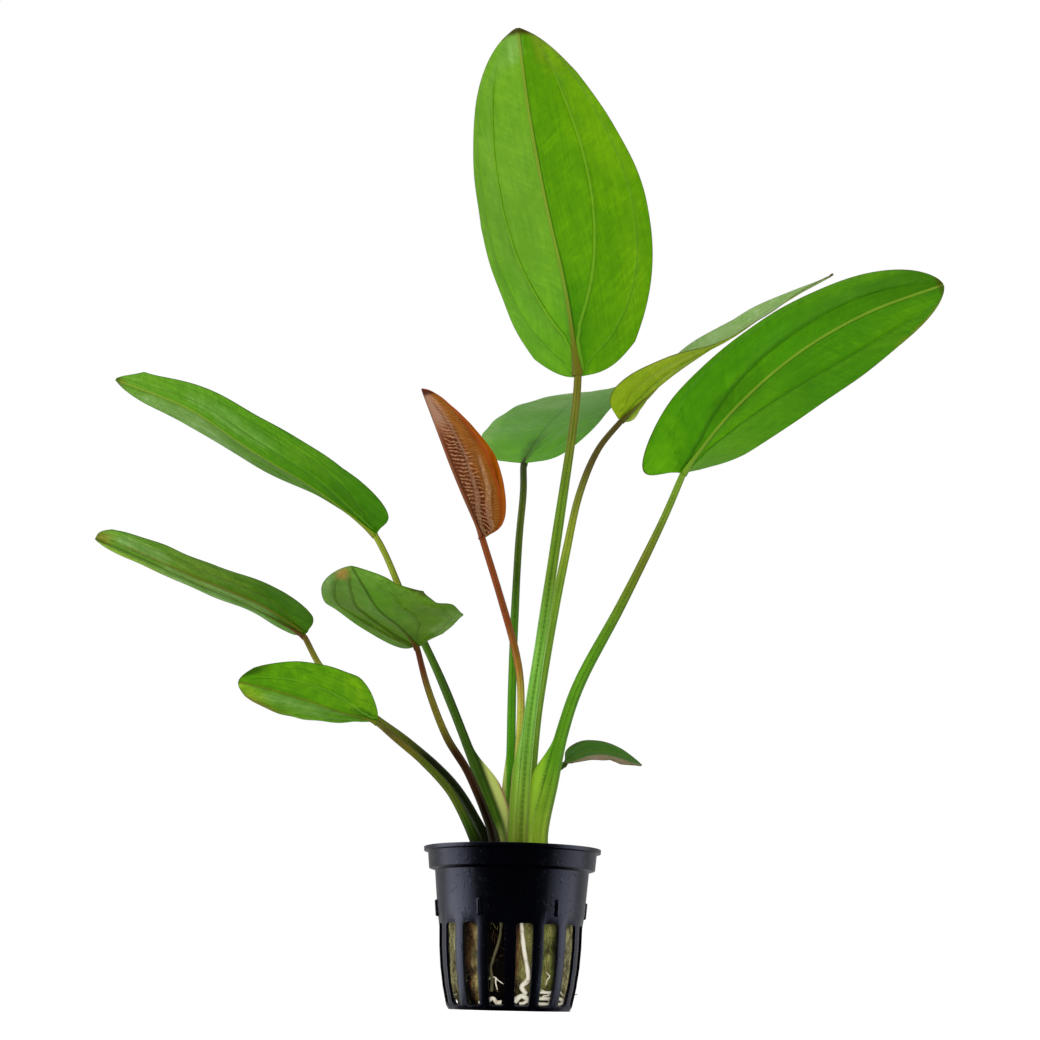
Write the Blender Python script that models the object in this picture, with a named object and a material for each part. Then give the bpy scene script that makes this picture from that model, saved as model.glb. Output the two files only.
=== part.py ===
"""Potted echinodorus: ten leaves on their stems, rooted in rock wool in a slotted net pot.

The origin is the centre of the pot's flat base. +Z is up, -Y is the front, +X is right.
Every size below is in millimetres and is turned into metres where a shape is made.
"""

import math

import bmesh
import bpy
import numpy as np
from mathutils import Vector

MM = 0.001

# Gap between two pieces that touch, and between a stem's end and its blade
GAP = 0.3
STEM_END_GAP = 0.8

# Angle between two faces, in degrees, over which their edge stays sharp
SHARP_ANGLE = 35

# Pot: outer profile from the base up, as (radius, height)
POT_OUTER = (
    (18.8, 0.0), (19.6, 1.3), (20.8, 7.0), (21.7, 13.0), (22.2, 19.0), (22.4, 25.8),
    (23.1, 29.5), (24.3, 42.3), (26.2, 42.9), (26.7, 48.1), (28.0, 48.2), (28.0, 49.5),
)
POT_WALL = 1.0
RIM_WALL = 1.7
POT_FLOOR = 1.2
SLOTS = 16
SLOT_SHARE = 0.6
SLOT_LOW, SLOT_HIGH = 1.3, 25.8
FLOOR_SLOT_INNER, FLOOR_SLOT_OUTER = 7.0, 15.5

# Rock wool plug: its levels from the pot's floor up, how far it stays inside the pot wall,
# and how much further its foot and its top are drawn in
WOOL_LEVELS = (1.5, 9.5, 18.0, 26.0, 36.0, 40.0)
WOOL_CLEARANCE = 2.1
WOOL_FOOT_EDGE, WOOL_TOP_EDGE = 4.5, 1.5
WOOL_CORNERS = 32

# Crown that sits on the rock wool
CROWN_RADIUS = 14.0
CROWN_TOP = 44.0
CROWN_EDGE = 1.2
CROWN_CORNERS = 24

# Stems: rings along each, how round each is, the share that is the thicker sheath, and
# how far each rises straight out of the crown
STEM_RINGS, STEM_ROUNDNESS = 14, 2
SHEATH_SHARE = 0.3
STEM_RISE = 4.0

# Roots: rings between two places, how round each is, and the end's share of the radius
ROOT_RINGS, ROOT_ROUNDNESS = 3, 1
ROOT_TAPER = 0.8

# Leaf blades: their thickness, that of the midrib at the tip, half the width of the tip,
# how far up a blade its base lobes lie, and how evenly the rows are spaced
BLADE_THICKNESS = 0.6
MIDRIB_TIP = 0.7
TIP_HALF_WIDTH = 0.35
LOBE_PLACE = 0.06
ROW_EVENNESS = 0.15

# Half width of the midrib's ridge, as shares of the stem's radius at base and tip, and
# the most of the blade's half width that it takes up
RIDGE_BASE, RIDGE_TIP = 1.1, 0.4
RIDGE_LIMIT = 0.5

POT_BLACK = (0.006, 0.007, 0.012, 1.0)
WOOL_KHAKI = (0.30, 0.29, 0.09, 1.0)
CROWN_BROWN = (0.16, 0.13, 0.04, 1.0)
GREEN = (0.10, 0.34, 0.02, 1.0)
PALE_GREEN = (0.16, 0.38, 0.08, 1.0)
RED_BROWN = (0.30, 0.07, 0.02, 1.0)
STEM_GREEN = (0.14, 0.30, 0.03, 1.0)
STEM_OLIVE = (0.16, 0.14, 0.02, 1.0)
STEM_MAROON = (0.08, 0.03, 0.02, 1.0)
ROOT_CREAM = (0.72, 0.66, 0.50, 1.0)

# Each leaf: where its stem leaves the crown, the places its stem passes through,
# the midrib from base to tip, the way its upper face looks, and the blade's measures.
# half, fold, base and lobe are pairs, one for each side of the midrib.
LEAVES = {
    "tall": {
        "foot": (2.8, -3.0), "stem_radius": (2.4, 2.2, 1.35), "stem_colour": STEM_OLIVE,
        "stem": ((2.6, -3.6, 57), (4.3, -5, 87), (8.1, -9, 118), (12.2, -12.5, 150),
                 (16.8, -17, 186)),
        "midrib": ((18, -20, 200.5), (13, -24, 229.5), (6, -29, 257.5), (0, -34, 286),
                   (-4.5, -39, 314.5)),
        "face": (0.37, 0.93, 0.10), "turn": (9, 1, 19), "half": (35.5, 35), "fold": (25, 27),
        "curl": 17, "widest": 0.47, "base": (1.8, 1.8), "tip": (1.7, 1.8), "lobe": (-1, 1.7),
        "rows": 14, "colour": GREEN,
    },
    "right": {
        "foot": (8.4, -0.2), "stem_radius": (3.1, 2.1, 1.05), "stem_colour": STEM_GREEN,
        "stem": ((8.6, 0, 56), (11.6, -0.5, 70), (15.2, -1, 87), (21, -2, 104),
                 (33.4, -4, 128), (45.8, -6.5, 154)),
        "midrib": ((52.5, -8, 172), (69.5, -12, 193), (89, -18.5, 210), (111, -26.5, 222),
                   (134, -37, 228.5)),
        "face": (-0.45, 0.25, 0.85), "turn": (-13, -53, -47), "half": (17.6, 23),
        "fold": (24, 15), "curl": 20, "widest": 0.22, "base": (1.75, 1.4), "tip": (3.2, 1.65),
        "lobe": (13, -1), "rows": 14, "colour": GREEN,
    },
    "right_back": {
        "foot": (4.6, 3.6), "stem_radius": (1.9, 1.7, 1.0), "stem_colour": STEM_OLIVE,
        "stem": ((4.8, 4, 57), (7, 6.5, 90), (11.2, 9, 120), (16.3, 12, 150),
                 (20, 14.5, 170), (26, 16.5, 186)),
        "midrib": ((33.5, 18, 197.5), (51, 21.5, 214.5), (70, 24.5, 229), (89.5, 28, 244),
                   (110.5, 31.5, 258.5)),
        "face": (-0.5, -0.1, 0.85), "turn": (-50, 31, 9), "half": (14.6, 13),
        "fold": (20, 12), "curl": 2, "widest": 0.24, "base": (3, 1.4), "tip": (1.2, 1.25),
        "lobe": (1.5, -1), "rows": 14, "colour": PALE_GREEN,
    },
    "back": {
        "foot": (0.0, 6.0), "stem_radius": (1.8, 1.45, 1.15), "stem_colour": STEM_GREEN,
        "stem": ((-0.8, 6.6, 57), (-1.3, 9, 90), (-1.2, 12, 119), (-0.3, 17, 152),
                 (0.9, 20, 171)),
        "midrib": ((0.6, 22, 183), (7, 36.5, 198), (14, 52.5, 211), (20, 70.5, 222),
                   (26, 89.5, 231)),
        "face": (0, 0, 1), "turn": (6, -4, -2), "half": (24.5, 24.5), "fold": (2, 2),
        "curl": 6, "widest": 0.4, "base": (1.9, 1.9), "tip": (1.8, 1.7), "lobe": (3, 3),
        "rows": 13, "colour": PALE_GREEN,
    },
    "young_red": {
        "foot": (0.0, 1.4), "stem_radius": (1.3, 1.1, 0.8), "stem_colour": RED_BROWN,
        "stem": ((0.2, 1.4, 57), (1.2, 0.9, 78), (1.6, 0.4, 98), (-0.3, 0, 112),
                 (-6, -1, 131)),
        "midrib": ((-12, -2, 150), (-18, -3, 162), (-23.5, -4, 174.5), (-28.5, -5, 187),
                   (-33.5, -6, 199.5)),
        "face": (0.93, -0.05, 0.37), "turn": (-6, -16, 4), "half": (14.8, 14.8),
        "fold": (77, 73), "curl": 2, "widest": 0.44, "base": (2.6, 2.6), "tip": (1.3, 1.45),
        "lobe": (1, 1), "rows": 12, "colour": RED_BROWN,
    },
    "upper_left": {
        "foot": (-4.2, 0.2), "stem_radius": (2.4, 1.6, 1.0), "stem_colour": STEM_GREEN,
        "stem": ((-5.4, 1, 57), (-13.6, 3, 78), (-24.6, 6.5, 104), (-36, 9, 127),
                 (-44, 11, 145)),
        "midrib": ((-48, 12, 154), (-69.5, 13.5, 169.5), (-92.5, 15.5, 184),
                   (-115, 17.5, 200.5), (-141.5, 20.5, 209)),
        "face": (0.5, 0.4, 0.8), "turn": (-15, 4, 37), "half": (19, 16.6),
        "fold": (18.5, 20.5), "curl": 4, "widest": 0.16, "base": (1.8, 2), "tip": (1.2, 1.6),
        "lobe": (-1, 6.5), "rows": 14, "colour": GREEN,
    },
    "middle_left": {
        "foot": (-8.6, 3.0), "stem_radius": (1.6, 1.4, 0.95), "stem_colour": STEM_MAROON,
        "stem": ((-10.6, 3.2, 56), (-19.5, 5, 70), (-34, 7, 83), (-48, 9.5, 93),
                 (-61, 12.5, 106)),
        "midrib": ((-70.5, 15, 119.5), (-88.5, 19, 129), (-107.5, 22.5, 137),
                   (-127, 26.5, 146), (-146.5, 30.5, 154.5)),
        "face": (0.4, 0.3, 0.9), "turn": (6, 0, 21), "half": (9.6, 14.8), "fold": (13.5, 15.5),
        "curl": -4, "widest": 0.16, "base": (1.2, 1.6), "tip": (1.2, 2.4), "lobe": (-1, 6),
        "rows": 14, "colour": GREEN,
    },
    "front_left": {
        "foot": (-5.6, -6.0), "stem_radius": (1.6, 1.4, 0.9), "stem_colour": STEM_MAROON,
        "stem": ((-7.6, -6.6, 57), (-14.4, -9, 72), (-21.6, -12, 83), (-27.6, -18, 97)),
        "midrib": ((-31, -25, 109.5), (-36, -38.5, 113), (-41.5, -51, 115.5),
                   (-45, -63, 119.5), (-48, -74, 123.5)),
        "face": (0.2, 0.3, 0.9), "turn": (5, -2, -2), "half": (23, 22), "fold": (10, 10),
        "curl": 2, "widest": 0.42, "base": (1.45, 1.2), "tip": (1.4, 1.2), "lobe": (7, -1),
        "rows": 12, "colour": GREEN,
    },
    "lower_left": {
        "foot": (-11.0, -3.6), "stem_radius": (1.6, 1.4, 0.9), "stem_colour": STEM_OLIVE,
        "stem": ((-14.6, -3.8, 57), (-20.5, -5.5, 67), (-29, -8, 75.5), (-37.5, -11.5, 82)),
        "midrib": ((-43.5, -14, 87.5), (-54.5, -17, 89.5), (-65, -20, 92.5),
                   (-75.5, -22.5, 95), (-86, -25.5, 97)),
        "face": (0.2, 0.4, 0.9), "turn": (-8, 16, 37), "half": (15.8, 14), "fold": (17, 20),
        "curl": 6, "widest": 0.25, "base": (2, 1.9), "tip": (1.7, 1.6), "lobe": (1, -1),
        "rows": 12, "colour": GREEN,
    },
    "small_right": {
        "foot": (7.8, 6.2), "stem_radius": (1.2, 1.0, 0.8), "stem_colour": STEM_GREEN,
        "stem": ((8.2, 7, 57), (9.5, 8.5, 66), (12, 10.5, 73.5)),
        "midrib": ((16, 12, 78.5), (22, 15.5, 82), (29, 19.5, 83.5), (36, 22.5, 82.5),
                   (42.5, 25.5, 80)),
        "face": (-0.3, -0.2, 0.9), "turn": (6, 23, 24), "half": (9.8, 9), "fold": (2, 6),
        "curl": -4, "widest": 0.45, "base": (1.75, 1.2), "tip": (2, 1.4), "lobe": (0.5, -1),
        "rows": 10, "colour": GREEN,
    },
}

# Columns of a blade across one side, as shares of the way from the midrib to the edge
BLADE_SHARES = (0.0, 0.5, 1.0)

# Roots: radius, then places as (angle from the front in degrees, height, depth behind
# the inside of the pot wall)
ROOTS = {
    "root_long": (0.75, ((7, 38, 1.1), (10, 27, 1.1), (12, 18, 1.1), (16, 12.5, 1.1),
                         (14, 8.5, 1.1), (12, 5.6, 1.4))),
    "root_left": (0.6, ((-8, 30, 1.0), (-10, 23, 1.0), (-15, 15, 1.0), (-19, 10.5, 1.0),
                        (-17, 5.5, 1.0))),
    "root_curl": (0.65, ((4, 2.2, 1.2), (8, 2.1, 1.4), (13, 2.3, 1.2), (15, 3.2, 1.2),
                         (11, 3.9, 1.4), (6, 3.9, 1.2))),
    "root_folded": (0.6, ((22, 2.2, 1.1), (40, 2.1, 1.1), (60, 2.2, 1.1), (66, 3.0, 1.1),
                          (58, 3.8, 1.1), (40, 3.8, 1.1), (28, 3.9, 1.1), (24, 4.7, 1.1),
                          (29, 5.6, 1.1), (42, 5.6, 1.1), (58, 5.8, 1.1))),
    "root_short": (0.6, ((-30, 2.2, 1.1), (-22, 2.3, 1.1), (-14, 3.2, 1.1), (-10, 4.4, 1.1))),
}


def clear_scene():
    """Remove whatever the open scene holds."""
    for old in list(bpy.data.objects):
        bpy.data.objects.remove(old, do_unlink=True)


def material(name, colour, roughness, metallic=0.0):
    """A plain Principled material."""
    made = bpy.data.materials.new(name)
    made.use_nodes = True
    shader = made.node_tree.nodes["Principled BSDF"]
    shader.inputs["Base Color"].default_value = colour
    shader.inputs["Roughness"].default_value = roughness
    shader.inputs["Metallic"].default_value = metallic
    made.diffuse_color = colour
    return made


def add_object(name, data, parent, surface):
    """Link data as a named object under the plant's empty."""
    made = bpy.data.objects.new(name, data)
    bpy.context.collection.objects.link(made)
    made.parent = parent
    data.materials.append(surface)
    return made


def smooth_curve(points, places):
    """Places (0 to 1, by length) along the smooth curve through the points."""
    knots = np.array(points, dtype=float)
    padded = np.vstack([2 * knots[0] - knots[1], knots, 2 * knots[-1] - knots[-2]])
    steps = np.linspace(0.0, 1.0, 16, endpoint=False)[:, None]
    parts = []
    for start in range(len(knots) - 1):
        before, here, there, after = padded[start:start + 4]
        parts.append(0.5 * (
            2 * here
            + (there - before) * steps
            + (2 * before - 5 * here + 4 * there - after) * steps ** 2
            + (3 * here - before - 3 * there + after) * steps ** 3
        ))
    fine = np.vstack(parts + [knots[-1:]])
    run = np.concatenate([[0.0], np.cumsum(np.linalg.norm(np.diff(fine, axis=0), axis=1))])
    wanted = np.asarray(places) * run[-1]
    return np.stack([np.interp(wanted, run, fine[:, axis]) for axis in range(3)], axis=1)


def unit(vectors):
    """The vectors at length one."""
    return vectors / np.linalg.norm(vectors, axis=-1, keepdims=True)


def blade_frame(leaf, place):
    """Midrib point, its direction, the upper face's direction and the side's, at a place."""
    reach = 0.02
    behind, here, ahead = smooth_curve(
        leaf["midrib"], [max(place - reach, 0.0), place, min(place + reach, 1.0)])
    along = unit(ahead - behind)
    face = np.array(leaf["face"])
    face = unit(face - face.dot(along) * along)
    at_base, at_middle, at_tip = leaf["turn"]
    turn = math.radians(
        at_base * (1 - place) * (1 - 2 * place)
        + at_middle * 4 * place * (1 - place)
        + at_tip * place * (2 * place - 1))
    face = face * math.cos(turn) + np.cross(along, face) * math.sin(turn)
    return here, along, face, np.cross(along, face)


def half_width(leaf, place, side, neck):
    """Distance from the midrib to the blade's edge, never under the neck or the tip."""
    widest = leaf["widest"]
    if place < widest:
        share = (1 - ((widest - place) / widest) ** 2) ** (1 / leaf["base"][side])
        return max(leaf["half"][side] * share, neck)
    power, fullness = leaf["tip"]
    share = (1 - ((place - widest) / (1 - widest)) ** power) ** (1 / fullness)
    return max(leaf["half"][side] * share, TIP_HALF_WIDTH)


def blade_point(leaf, column, place, neck):
    """A point of the blade's upper face: column -3 to 3 across, place 0 to 1 along."""
    here, along, face, across = blade_frame(leaf, place)
    if column == 0:
        return here
    side = 0 if column > 0 else 1
    edge = half_width(leaf, place, side, neck)
    ridge = neck * (RIDGE_BASE + (RIDGE_TIP - RIDGE_BASE) * place)
    ridge = min(ridge, RIDGE_LIMIT * edge)
    reach = ridge + (edge - ridge) * BLADE_SHARES[abs(column) - 1]
    share = reach / edge
    angle = math.radians(leaf["fold"][side] + leaf["curl"] * share / 2)
    out = math.copysign(reach * math.cos(angle), column)
    back = leaf["lobe"][side] * share ** 1.5
    back *= place / LOBE_PLACE * math.exp(1 - place / LOBE_PLACE)
    return here + across * out + face * reach * math.sin(angle) - along * back


def add_blade(name, leaf, parent):
    """One leaf blade: a grid laid on the leaf's form, made solid, thick along its midrib."""
    columns = len(BLADE_SHARES)
    rows = leaf["rows"]
    neck = leaf["stem_radius"][-1]
    mesh = bpy.data.meshes.new(name)
    shape = bmesh.new()
    bmesh.ops.create_grid(shape, x_segments=2 * columns, y_segments=rows, size=1.0)
    ribs = []
    for vertex in shape.verts:
        column = round(vertex.co.x * columns)
        run = (vertex.co.y + 1) / 2
        closer_at_ends = 0.5 - 0.5 * math.cos(math.pi * run)
        place = ROW_EVENNESS * run + (1 - ROW_EVENNESS) * closer_at_ends
        if column == 0:
            ribs.append((vertex.index, place))
        vertex.co = Vector(blade_point(leaf, column, place, neck)) * MM
    shape.to_mesh(mesh)
    shape.free()
    mesh.shade_smooth()
    surface = material(name, leaf["colour"], 0.35)
    blade = add_object(name, mesh, parent, surface)
    thickest = 2.0 * neck
    midrib = blade.vertex_groups.new(name="midrib")
    for index, place in ribs:
        height = thickest + (MIDRIB_TIP - thickest) * place ** 0.5
        weight = (height - BLADE_THICKNESS) / (thickest - BLADE_THICKNESS)
        midrib.add([index], weight, "REPLACE")
    solid = blade.modifiers.new("thickness", "SOLIDIFY")
    solid.thickness = thickest * MM
    solid.thickness_vertex_group = BLADE_THICKNESS / thickest
    solid.vertex_group = midrib.name
    solid.offset = -1.0
    return blade


def add_rod(name, points, radii, rings, roundness, surface, parent):
    """A round rod along the smooth curve through the points, its radius from foot to top."""
    curve = bpy.data.curves.new(name, "CURVE")
    curve.dimensions = "3D"
    curve.bevel_depth = MM
    curve.bevel_resolution = roundness
    curve.use_fill_caps = True
    line = curve.splines.new("POLY")
    line.points.add(rings - 1)
    places = np.linspace(0.0, 1.0, rings)
    for point, place, spot in zip(line.points, places, smooth_curve(points, places)):
        point.co = (*(spot * MM), 1.0)
        point.radius = np.interp(place, (0.0, SHEATH_SHARE, 1.0), radii)
    line.use_smooth = True
    return add_object(name, curve, parent, surface)


def add_stem(name, leaf, parent):
    """A stem from the crown to just short of its blade."""
    foot_x, foot_y = leaf["foot"]
    foot = (foot_x, foot_y, CROWN_TOP + GAP)
    rise = (foot_x, foot_y, CROWN_TOP + STEM_RISE)
    start = np.array(leaf["midrib"][0], dtype=float)
    before = np.array(leaf["stem"][-1], dtype=float)
    end = start - unit(start - before) * STEM_END_GAP
    points = (foot, rise, *leaf["stem"], tuple(end))
    surface = material(name, leaf["stem_colour"], 0.4)
    return add_rod(name, points, leaf["stem_radius"], STEM_RINGS, STEM_ROUNDNESS, surface,
                   parent)


def turned_rings(shape, profile, corners):
    """Rings of vertices, one for each (radius, height) of a profile turned about Z."""
    rings = []
    for radius, height in profile:
        ring = []
        for angle in corners:
            place = (radius * math.sin(angle), -radius * math.cos(angle), height)
            ring.append(shape.verts.new(Vector(place) * MM))
        rings.append(ring)
    return rings


def inner_radius(height):
    """Radius of the inside of the pot wall at a height."""
    radii = [radius for radius, level in POT_OUTER]
    levels = [level for radius, level in POT_OUTER]
    return float(np.interp(height, levels, radii)) - POT_WALL


def pot_profile():
    """The pot's section, from the slots' inner end on the base, round the lip, back inside."""
    under = [(FLOOR_SLOT_INNER, 0.0), (FLOOR_SLOT_OUTER, 0.0)]
    rim_radius, rim_top = POT_OUTER[-1]
    inside = [(rim_radius - RIM_WALL, rim_top)]
    for radius, height in reversed(POT_OUTER[1:9]):
        inside.append((radius - POT_WALL, height))
    inside.append((FLOOR_SLOT_OUTER, POT_FLOOR))
    inside.append((FLOOR_SLOT_INNER, POT_FLOOR))
    return under + list(POT_OUTER) + inside


def add_pot(parent):
    """The net pot: one turned shell with sixteen slots in its wall and its floor."""
    pitch = 2 * math.pi / SLOTS
    rib = pitch * (1 - SLOT_SHARE)
    corners = []
    for slot in range(SLOTS):
        start = slot * pitch + rib / 2
        corners += [start, start + pitch * SLOT_SHARE / 2, start + pitch * SLOT_SHARE]
    profile = pot_profile()
    shape = bmesh.new()
    rings = turned_rings(shape, profile, corners)
    count = len(corners)
    heights = [height for radius, height in profile]
    last = len(profile) - 1
    low, high = heights.index(SLOT_LOW), heights.index(SLOT_HIGH)
    inner_high = last - heights[::-1].index(SLOT_HIGH)
    inner_low = last - heights[::-1].index(SLOT_LOW)
    for level in range(last):
        for corner in range(count):
            in_slot = corner % 3 != 2
            in_wall = low <= level < high or inner_high <= level < inner_low
            in_floor = level == 0 or level == last - 1
            if in_slot and (in_wall or (in_floor and corner // 3 % 2 == 0)):
                continue
            after = (corner + 1) % count
            shape.faces.new((rings[level][corner], rings[level][after],
                             rings[level + 1][after], rings[level + 1][corner]))
    shape.faces.new(reversed(rings[0]))
    shape.faces.new(rings[last])
    bmesh.ops.recalc_face_normals(shape, faces=shape.faces)
    bridge_slots(shape, rings, (low, high), (inner_high, inner_low))
    bmesh.ops.recalc_face_normals(shape, faces=shape.faces)
    surface = material("pot", POT_BLACK, 0.35)
    return add_object("pot", turned_mesh("pot", shape), parent, surface)


def turned_mesh(name, shape):
    """A mesh from the shape, smooth but for its sharp edges."""
    mesh = bpy.data.meshes.new(name)
    shape.to_mesh(mesh)
    shape.free()
    mesh.shade_smooth()
    mesh.set_sharp_from_angle(angle=math.radians(SHARP_ANGLE))
    return mesh


def bridge_slots(shape, rings, outer, inner):
    """Join the outer and inner edges of every slot with its side walls."""
    last = len(rings) - 1
    for slot in range(SLOTS):
        first = 3 * slot
        span = range(first, first + 3)
        wall_out = edge_path(shape, rings, span, *outer)
        wall_in = edge_path(shape, rings, span, *inner)
        bmesh.ops.bridge_loops(shape, edges=wall_out + wall_in)
        if slot % 2 == 0:
            floor_out = edge_path(shape, rings, span, 0, 1)
            floor_in = edge_path(shape, rings, span, last - 1, last)
            bmesh.ops.bridge_loops(shape, edges=floor_out + floor_in)


def edge_path(shape, rings, span, start, end):
    """The edges round one slot between two levels of the profile."""
    turns = list(span)
    turns[-1] = turns[-1] % len(rings[0])
    path = [rings[start][turn] for turn in turns]
    path += [rings[level][turns[-1]] for level in range(start + 1, end + 1)]
    path += [rings[end][turn] for turn in reversed(turns[:-1])]
    path += [rings[level][turns[0]] for level in range(end - 1, start, -1)]
    edges = []
    for here, there in zip(path, path[1:] + path[:1]):
        edges.append(shape.edges.get((here, there)))
    return edges


def add_wool(parent):
    """The rock wool plug, a turned solid that follows the inside of the pot."""
    shape = bmesh.new()
    profile = []
    edges = {WOOL_LEVELS[0]: WOOL_FOOT_EDGE, WOOL_LEVELS[-1]: WOOL_TOP_EDGE}
    for level in WOOL_LEVELS:
        radius = inner_radius(level) - WOOL_CLEARANCE - edges.get(level, 0.0)
        profile.append((radius, level))
    corners = [step * 2 * math.pi / WOOL_CORNERS for step in range(WOOL_CORNERS)]
    rings = turned_rings(shape, profile, corners)
    for lower, upper in zip(rings, rings[1:]):
        for step in range(len(corners)):
            after = (step + 1) % len(corners)
            shape.faces.new((lower[step], lower[after], upper[after], upper[step]))
    shape.faces.new(reversed(rings[0]))
    shape.faces.new(rings[-1])
    bmesh.ops.recalc_face_normals(shape, faces=shape.faces)
    surface = material("rock_wool", WOOL_KHAKI, 0.95)
    return add_object("rock_wool", turned_mesh("rock_wool", shape), parent, surface)


def add_crown(parent):
    """The crown that the stems grow from, a low mound on the rock wool."""
    height = CROWN_TOP - WOOL_LEVELS[-1] - GAP
    shape = bmesh.new()
    bmesh.ops.create_cone(shape, cap_ends=True, segments=CROWN_CORNERS,
                          radius1=CROWN_RADIUS * MM, radius2=CROWN_RADIUS * MM,
                          depth=height * MM)
    surface = material("crown", CROWN_BROWN, 0.6)
    crown = add_object("crown", turned_mesh("crown", shape), parent, surface)
    crown.location = (0.0, 0.0, (CROWN_TOP - height / 2) * MM)
    edge = crown.modifiers.new("round edge", "BEVEL")
    edge.width = CROWN_EDGE * MM
    edge.segments = 1
    edge.limit_method = "ANGLE"
    return crown


def root_point(angle, height, depth):
    """A root's place from its angle, its height and how far it lies behind the wall."""
    radius = inner_radius(height) - depth
    turn = math.radians(angle)
    return (radius * math.sin(turn), -radius * math.cos(turn), height)


def add_roots(parent):
    """The roots seen through the slots."""
    for name, (radius, places) in ROOTS.items():
        points = [root_point(*place) for place in places]
        surface = material(name, ROOT_CREAM, 0.5)
        rings = ROOT_RINGS * (len(places) - 1) + 1
        add_rod(name, points, (radius, radius, ROOT_TAPER * radius), rings, ROOT_ROUNDNESS,
                surface, parent)


def main():
    """Build the whole plant."""
    clear_scene()
    plant = bpy.data.objects.new("potted_echinodorus", None)
    bpy.context.collection.objects.link(plant)
    add_pot(plant)
    add_wool(plant)
    add_crown(plant)
    add_roots(plant)
    for name, leaf in LEAVES.items():
        add_stem("stem_" + name, leaf, plant)
        add_blade("leaf_" + name, leaf, plant)


main()
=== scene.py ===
"""Potted echinodorus, finished: veined leaves, ribbed stems, net pot, rock wool and roots.

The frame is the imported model: metres, +Z up, -Y is the front, +X is right.
Leaf, stem and root measures below are in millimetres and degrees.
"""

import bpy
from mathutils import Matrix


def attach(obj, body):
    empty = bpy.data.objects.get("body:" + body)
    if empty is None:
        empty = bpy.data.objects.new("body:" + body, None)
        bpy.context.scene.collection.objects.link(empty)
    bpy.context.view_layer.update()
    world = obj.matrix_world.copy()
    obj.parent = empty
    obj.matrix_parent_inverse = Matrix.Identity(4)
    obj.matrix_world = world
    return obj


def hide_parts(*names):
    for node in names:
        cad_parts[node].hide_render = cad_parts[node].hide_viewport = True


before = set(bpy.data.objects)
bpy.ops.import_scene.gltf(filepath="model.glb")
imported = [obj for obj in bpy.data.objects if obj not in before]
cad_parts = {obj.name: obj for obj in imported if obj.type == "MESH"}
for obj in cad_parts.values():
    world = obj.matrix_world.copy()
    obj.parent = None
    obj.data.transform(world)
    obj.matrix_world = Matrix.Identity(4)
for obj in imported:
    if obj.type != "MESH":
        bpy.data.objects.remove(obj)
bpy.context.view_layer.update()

import math
from types import SimpleNamespace

import bpy
import numpy as np
from bpy.props import FloatProperty, FloatVectorProperty, IntProperty, PointerProperty
from bpy.types import Operator, Panel, PropertyGroup
from mathutils import Matrix, Vector, noise

bl_info = {
    "name": "Potted echinodorus",
    "version": (1, 0, 0),
    "blender": (4, 5, 0),
    "location": "3D View > Sidebar > Plant",
    "description": "Dresses the potted echinodorus: leaves, stems, pot, rock wool and roots",
    "category": "Object",
}

MM = 0.001
BODY = "root"

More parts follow.
